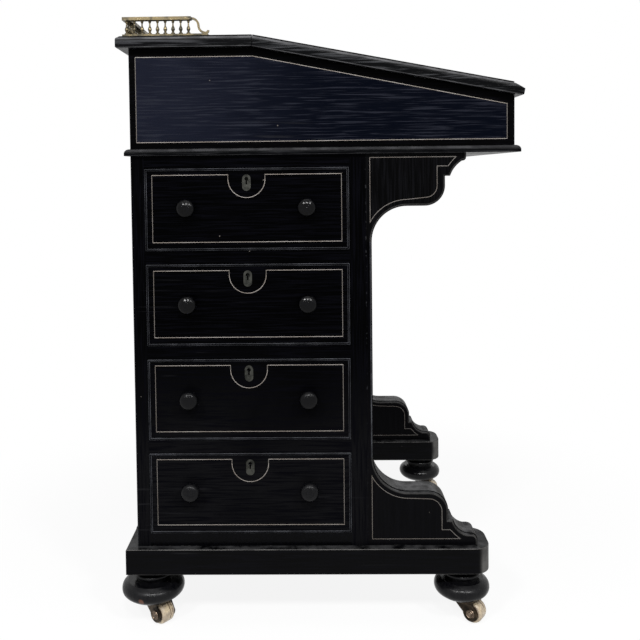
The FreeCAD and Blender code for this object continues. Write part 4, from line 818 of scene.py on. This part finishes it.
for side, place, end in (("left", onLeft, 0), ("right", onRight, 1)):
    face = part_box(f"box_{side}_side")[end].y
    mesh = bmesh.new()
    drawBoxLine(mesh)
    finishPiece(mesh, f"box_{side}_stringing", paleStringing, "case", place(face),
                wornStringing)


# stringing of the scrolled brackets, in from their outline: x from the carcass front, rise from the seat
bracketLine = {
    "root": 0.0055,
    "bulgeRadius": 0.0285,
    "bulgeRise": 0.0134,
    "throatMiddle": 0.0584,
    "throatRadius": 0.05,
    "hollow": 6,
    "thickness": 0.047,
    "steps": 14,
}
bracketKinds = {
    "upper": {"sign": -1, "seat": 0.0052, "tip": 0.1281, "notch": (0.1162, 0.019), "step": 0.0326,
              "edge": 0.1124, "inset": 0.0116, "throatInset": 0.009},
    "lower": {"sign": 1, "seat": 0.009, "tip": 0.1328, "notch": (0.1176, 0.0229), "step": 0.0355,
              "edge": 0.1154, "inset": 0.0094, "throatInset": 0.0085},
}


# a shallow hollow curve between two points, bowed by an angle at either end
def hollowTo(mesh, pen, end, degrees, steps):
    start = Vector((pen.co.x, pen.co.z))
    chord = Vector(end) - start
    out = chord.length / 2 / math.tan(math.radians(abs(degrees)))
    side = Vector((-chord.y, chord.x)).normalized() * math.copysign(out, degrees)
    middle = (start + Vector(end)) / 2 + side
    return arcTo(mesh, pen, middle.x, middle.y, -2 * degrees, steps)


def drawBracketLine(mesh, kind, frontX, seatZ):
    look = bracketKinds[kind]
    up, inset, steps = look["sign"], look["inset"], bracketLine["steps"]
    root = frontX + bracketLine["root"]
    edge = frontX + look["edge"] - inset
    bulgeRise = look["step"] + bracketLine["bulgeRise"]
    bulgeReach = bracketLine["bulgeRadius"] - inset
    throatX = frontX + bracketLine["throatMiddle"]
    throatRise = bulgeRise + bracketLine["bulgeRadius"] + bracketLine["throatRadius"]
    throatReach = bracketLine["throatRadius"] + look["throatInset"]
    throatSweep = math.degrees(math.asin((throatX - root) / throatReach))

    first = startPen(mesh, root, seatZ + up * look["seat"])
    pen = lineTo(mesh, first, frontX + look["tip"], seatZ + up * look["seat"])
    notch = (frontX + look["notch"][0], seatZ + up * look["notch"][1])
    pen = hollowTo(mesh, pen, notch, -up * bracketLine["hollow"], steps)
    pen = lineTo(mesh, pen, edge, notch[1])
    pen = lineTo(mesh, pen, edge, seatZ + up * bulgeRise)
    pen = arcTo(mesh, pen, edge - bulgeReach, seatZ + up * bulgeRise, -up * 90, steps)
    pen = lineTo(mesh, pen, throatX, seatZ + up * (throatRise - throatReach))
    pen = arcTo(mesh, pen, throatX, seatZ + up * throatRise, up * throatSweep, steps)
    stripCut(mesh, pen, first)


for kind, level in (("upper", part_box("upper_brackets")[1].z), ("lower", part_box("lower_brackets")[0].z)):
    low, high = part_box(f"{kind}_brackets")
    thick = bracketLine["thickness"]
    for side, place, face in (("left", onLeft, low.y), ("left_inner", onRight, low.y + thick),
                              ("right", onRight, high.y), ("right_inner", onLeft, high.y - thick)):
        mesh = bmesh.new()
        drawBracketLine(mesh, kind, caseFront, level)
        finishPiece(mesh, f"{kind}_bracket_{side}_stringing", wornStringing, "case",
                    place(face))
print("stringing laid")


# blind key plates on the false drawers
blindPlate = {"width": 0.012, "height": 0.023, "rim": 0.0036, "thick": 0.0012, "drop": 0.0207, "steps": 14}
blindPlates = bmesh.new()
for level in drawerLevels:
    low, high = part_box(f"drawer_{level}_front")
    middle, radius = (low.x + high.x) / 2, blindPlate["width"] / 2
    eye = high.z - blindPlate["drop"]
    rise = blindPlate["height"] / 2 - radius
    first = startPen(blindPlates, middle - radius, eye + rise)
    pen = arcTo(blindPlates, first, middle, eye + rise, 180, blindPlate["steps"])
    pen = lineTo(blindPlates, pen, middle + radius, eye - rise)
    pen = arcTo(blindPlates, pen, middle, eye - rise, 180, blindPlate["steps"])
    cutStrip(blindPlates, pen, first, blindPlate["rim"], 0, blindPlate["thick"])
finishPiece(blindPlates, "false_key_plates", metalLooks["lockMetal"], "case",
            onRight(falseFace))


# gilt lines tooled round the leather
tooling = {
    "slope": 10.85,
    "thickness": 0.0012,
    "sink": 0.0001,
    "proud": 0.00006,
    "lines": ((0.009, 0.0012), (0.0115, 0.0005), (0.021, 0.0006)),
}
slope = math.radians(tooling["slope"])
low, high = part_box("lid_leather")
topEdge = Vector((low.x + tooling["thickness"] * math.sin(slope), 0, high.z))
reach = (high.x - low.x - tooling["thickness"] * math.sin(slope)) / math.cos(slope)
half = high.y
gilt = bmesh.new()
for inset, width in tooling["lines"]:
    first = startPen(gilt, inset, inset - half)
    pen = lineTo(gilt, first, inset, half - inset)
    pen = lineTo(gilt, pen, reach - inset, half - inset)
    pen = lineTo(gilt, pen, reach - inset, inset - half)
    cutStrip(gilt, pen, first, width, tooling["sink"], tooling["proud"])
onLid = Matrix.Translation(topEdge) @ Matrix.Rotation(slope, 4, "Y") @ Matrix.Rotation(-math.pi / 2, 4, "X")
finishPiece(gilt, "leather_tooling", metalLooks["toolingGilt"], "lid", onLid)


# washers and riveted ends of the caster axles
rivet = {"cheek": 0.014, "washerRadius": 0.0066, "washerThick": 0.0007, "rim": 0.0013, "headRadius": 0.0036,
         "headRise": 0.0013, "crestShare": 0.6, "headShare": 0.8, "steps": 24}
for corner in corners:
    joint = joints[corner + "_roll"]
    turn = Vector((0, 0, 1)).rotation_difference(Vector(joint["axis"])).to_matrix().to_4x4()
    mesh = bmesh.new()
    for end in (-1, 1):
        out = end * rivet["cheek"]
        top = out + end * rivet["washerThick"]
        crest = top + end * rivet["headRise"] * rivet["crestShare"]
        outer, inner = rivet["washerRadius"], rivet["washerRadius"] - rivet["rim"]
        head = rivet["headRadius"]
        path = [(outer, out), (outer, top), ((outer + inner) / 2, crest), (inner, top), (head, top),
                (head * rivet["headShare"], crest), (0, top + end * rivet["headRise"])]
        profile = [mesh.verts.new((radius, 0, rise)) for radius, rise in path]
        edges = [mesh.edges.new(pair) for pair in zip(profile, profile[1:])]
        bmesh.ops.spin(mesh, geom=profile + edges, cent=(0, 0, 0), axis=(0, 0, 1), angle=math.tau,
                       steps=rivet["steps"], use_merge=True)
    place = Matrix.Translation(Vector(joint["pos_m"])) @ turn
    finishPiece(mesh, f"{corner}_axle_rivets", metalLooks["axleBrass"], f"{corner}_swivel",
                place)
print("fittings added")


# floor, light and camera
studio = {
    "floorSize": 9.0,
    "floorColour": tint(0.9, 0.9, 0.9),
    "shadowShare": 0.11,
    "shadowReach": (0.4, 0.85),
    "worldLight": 0.28,
    "lampSize": (0.3, 0.28),
    "lampWatts": 24,
    "lampAim": (0, 0, 0.45),
    "lamps": ((-0.85, -1.75, 1.75), (0.05, -1.95, 1.95), (0.95, -1.75, 1.75)),
    "topWatts": 12,
    "topSize": (1.6, 1.6),
    "topPlace": (0, -0.1, 2.4),
}


def seenDirectly(tree):
    rays = put(tree, "ShaderNodeLightPath").outputs
    seen = calc(tree, "MAXIMUM", rays["Is Camera Ray"], rays["Is Glossy Ray"])
    return calc(tree, "MAXIMUM", seen, rays["Is Transmission Ray"])


floorMesh = bmesh.new()
bmesh.ops.create_grid(floorMesh, x_segments=1, y_segments=1, size=studio["floorSize"])
floorData = bpy.data.meshes.new("studio_floor")
floorMesh.to_mesh(floorData)
floorMesh.free()
floor = bpy.data.objects.new("studio_floor", floorData)
bpy.context.scene.collection.objects.link(floor)
floorLook = bpy.data.materials.new("studioFloor")
floorLook.use_nodes = True
tree = floorLook.node_tree
tree.nodes.clear()
lit = put(tree, "ShaderNodeBsdfDiffuse", {"Color": studio["floorColour"]})
white = put(tree, "ShaderNodeEmission", {"Strength": 1.0})
reach = vectorCalc(tree, "LENGTH", put(tree, "ShaderNodeTexCoord").outputs["Object"])
far = fade(tree, reach, *studio["shadowReach"])
shadow = calc(tree, "MULTIPLY", calc(tree, "SUBTRACT", 1.0, far), studio["shadowShare"])
bright = calc(tree, "MULTIPLY", calc(tree, "SUBTRACT", 1.0, shadow), seenDirectly(tree))
mixed = put(tree, "ShaderNodeMixShader", {0: bright, 1: lit.outputs[0], 2: white.outputs[0]})
tree.links.new(mixed.outputs[0], put(tree, "ShaderNodeOutputMaterial").inputs[0])
floorData.materials.append(floorLook)

world = bpy.data.worlds.new("studio")
bpy.context.scene.world = world
world.use_nodes = True
tree = world.node_tree
tree.nodes.clear()
ambient = put(tree, "ShaderNodeBackground", {"Strength": studio["worldLight"]})
backdrop = put(tree, "ShaderNodeBackground", {"Strength": 1.0})
for shade in (ambient, backdrop):
    shade.inputs["Color"].default_value = tint(1, 1, 1)
shades = {0: seenDirectly(tree), 1: ambient.outputs[0], 2: backdrop.outputs[0]}
mixed = put(tree, "ShaderNodeMixShader", shades)
tree.links.new(mixed.outputs[0], put(tree, "ShaderNodeOutputWorld").inputs[0])


def hangLamp(name, place, size, watts):
    light = bpy.data.lights.new(name, "AREA")
    light.shape = "RECTANGLE"
    light.size, light.size_y = size
    light.energy = watts
    lamp = bpy.data.objects.new(name, light)
    lamp.location = place
    lamp.rotation_euler = (Vector(studio["lampAim"]) - Vector(place)).to_track_quat("-Z", "Y").to_euler()
    lamp.visible_camera = False
    bpy.context.scene.collection.objects.link(lamp)


for number, place in enumerate(studio["lamps"]):
    hangLamp(f"soft_box_{number}", place, studio["lampSize"], studio["lampWatts"])
hangLamp("overhead", studio["topPlace"], studio["topSize"], studio["topWatts"])

# the photograph's viewpoint: focal length and middle of the picture in its pixels
view = {
    "pastBack": 0.2531,
    "aside": -1.38524,
    "overPlinth": 0.53748,
    "pitch": 0.042036,
    "yaw": -0.016947,
    "roll": -0.011181,
    "focal": 805.181,
    "middle": (296.196, 205.13),
    "pixels": 640,
    "sensor": 36,
}
flat = math.cos(view["pitch"])
ahead = Vector((math.sin(view["yaw"]) * flat, math.cos(view["yaw"]) * flat, -math.sin(view["pitch"])))
aside = Vector((math.cos(view["yaw"]), -math.sin(view["yaw"]), 0))
above = aside.cross(ahead)
rolledAside = math.cos(view["roll"]) * aside + math.sin(view["roll"]) * above
rolledAbove = math.cos(view["roll"]) * above - math.sin(view["roll"]) * aside
camera = bpy.data.objects.new("camera", bpy.data.cameras.new("camera"))
camera.data.sensor_width = view["sensor"]
camera.data.lens = view["focal"] / view["pixels"] * view["sensor"]
camera.data.shift_x = 0.5 - view["middle"][0] / view["pixels"]
camera.data.shift_y = view["middle"][1] / view["pixels"] - 0.5
turned = Matrix((rolledAside, rolledAbove, -ahead)).transposed().to_4x4()
eye = (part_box("carcass_back_panel")[0].x + view["pastBack"], view["aside"], plinthTop + view["overPlinth"])
camera.matrix_world = Matrix.Translation(eye) @ turned
bpy.context.scene.collection.objects.link(camera)
bpy.context.scene.camera = camera
bpy.context.scene.view_settings.view_transform = "Standard"
print("studio ready")
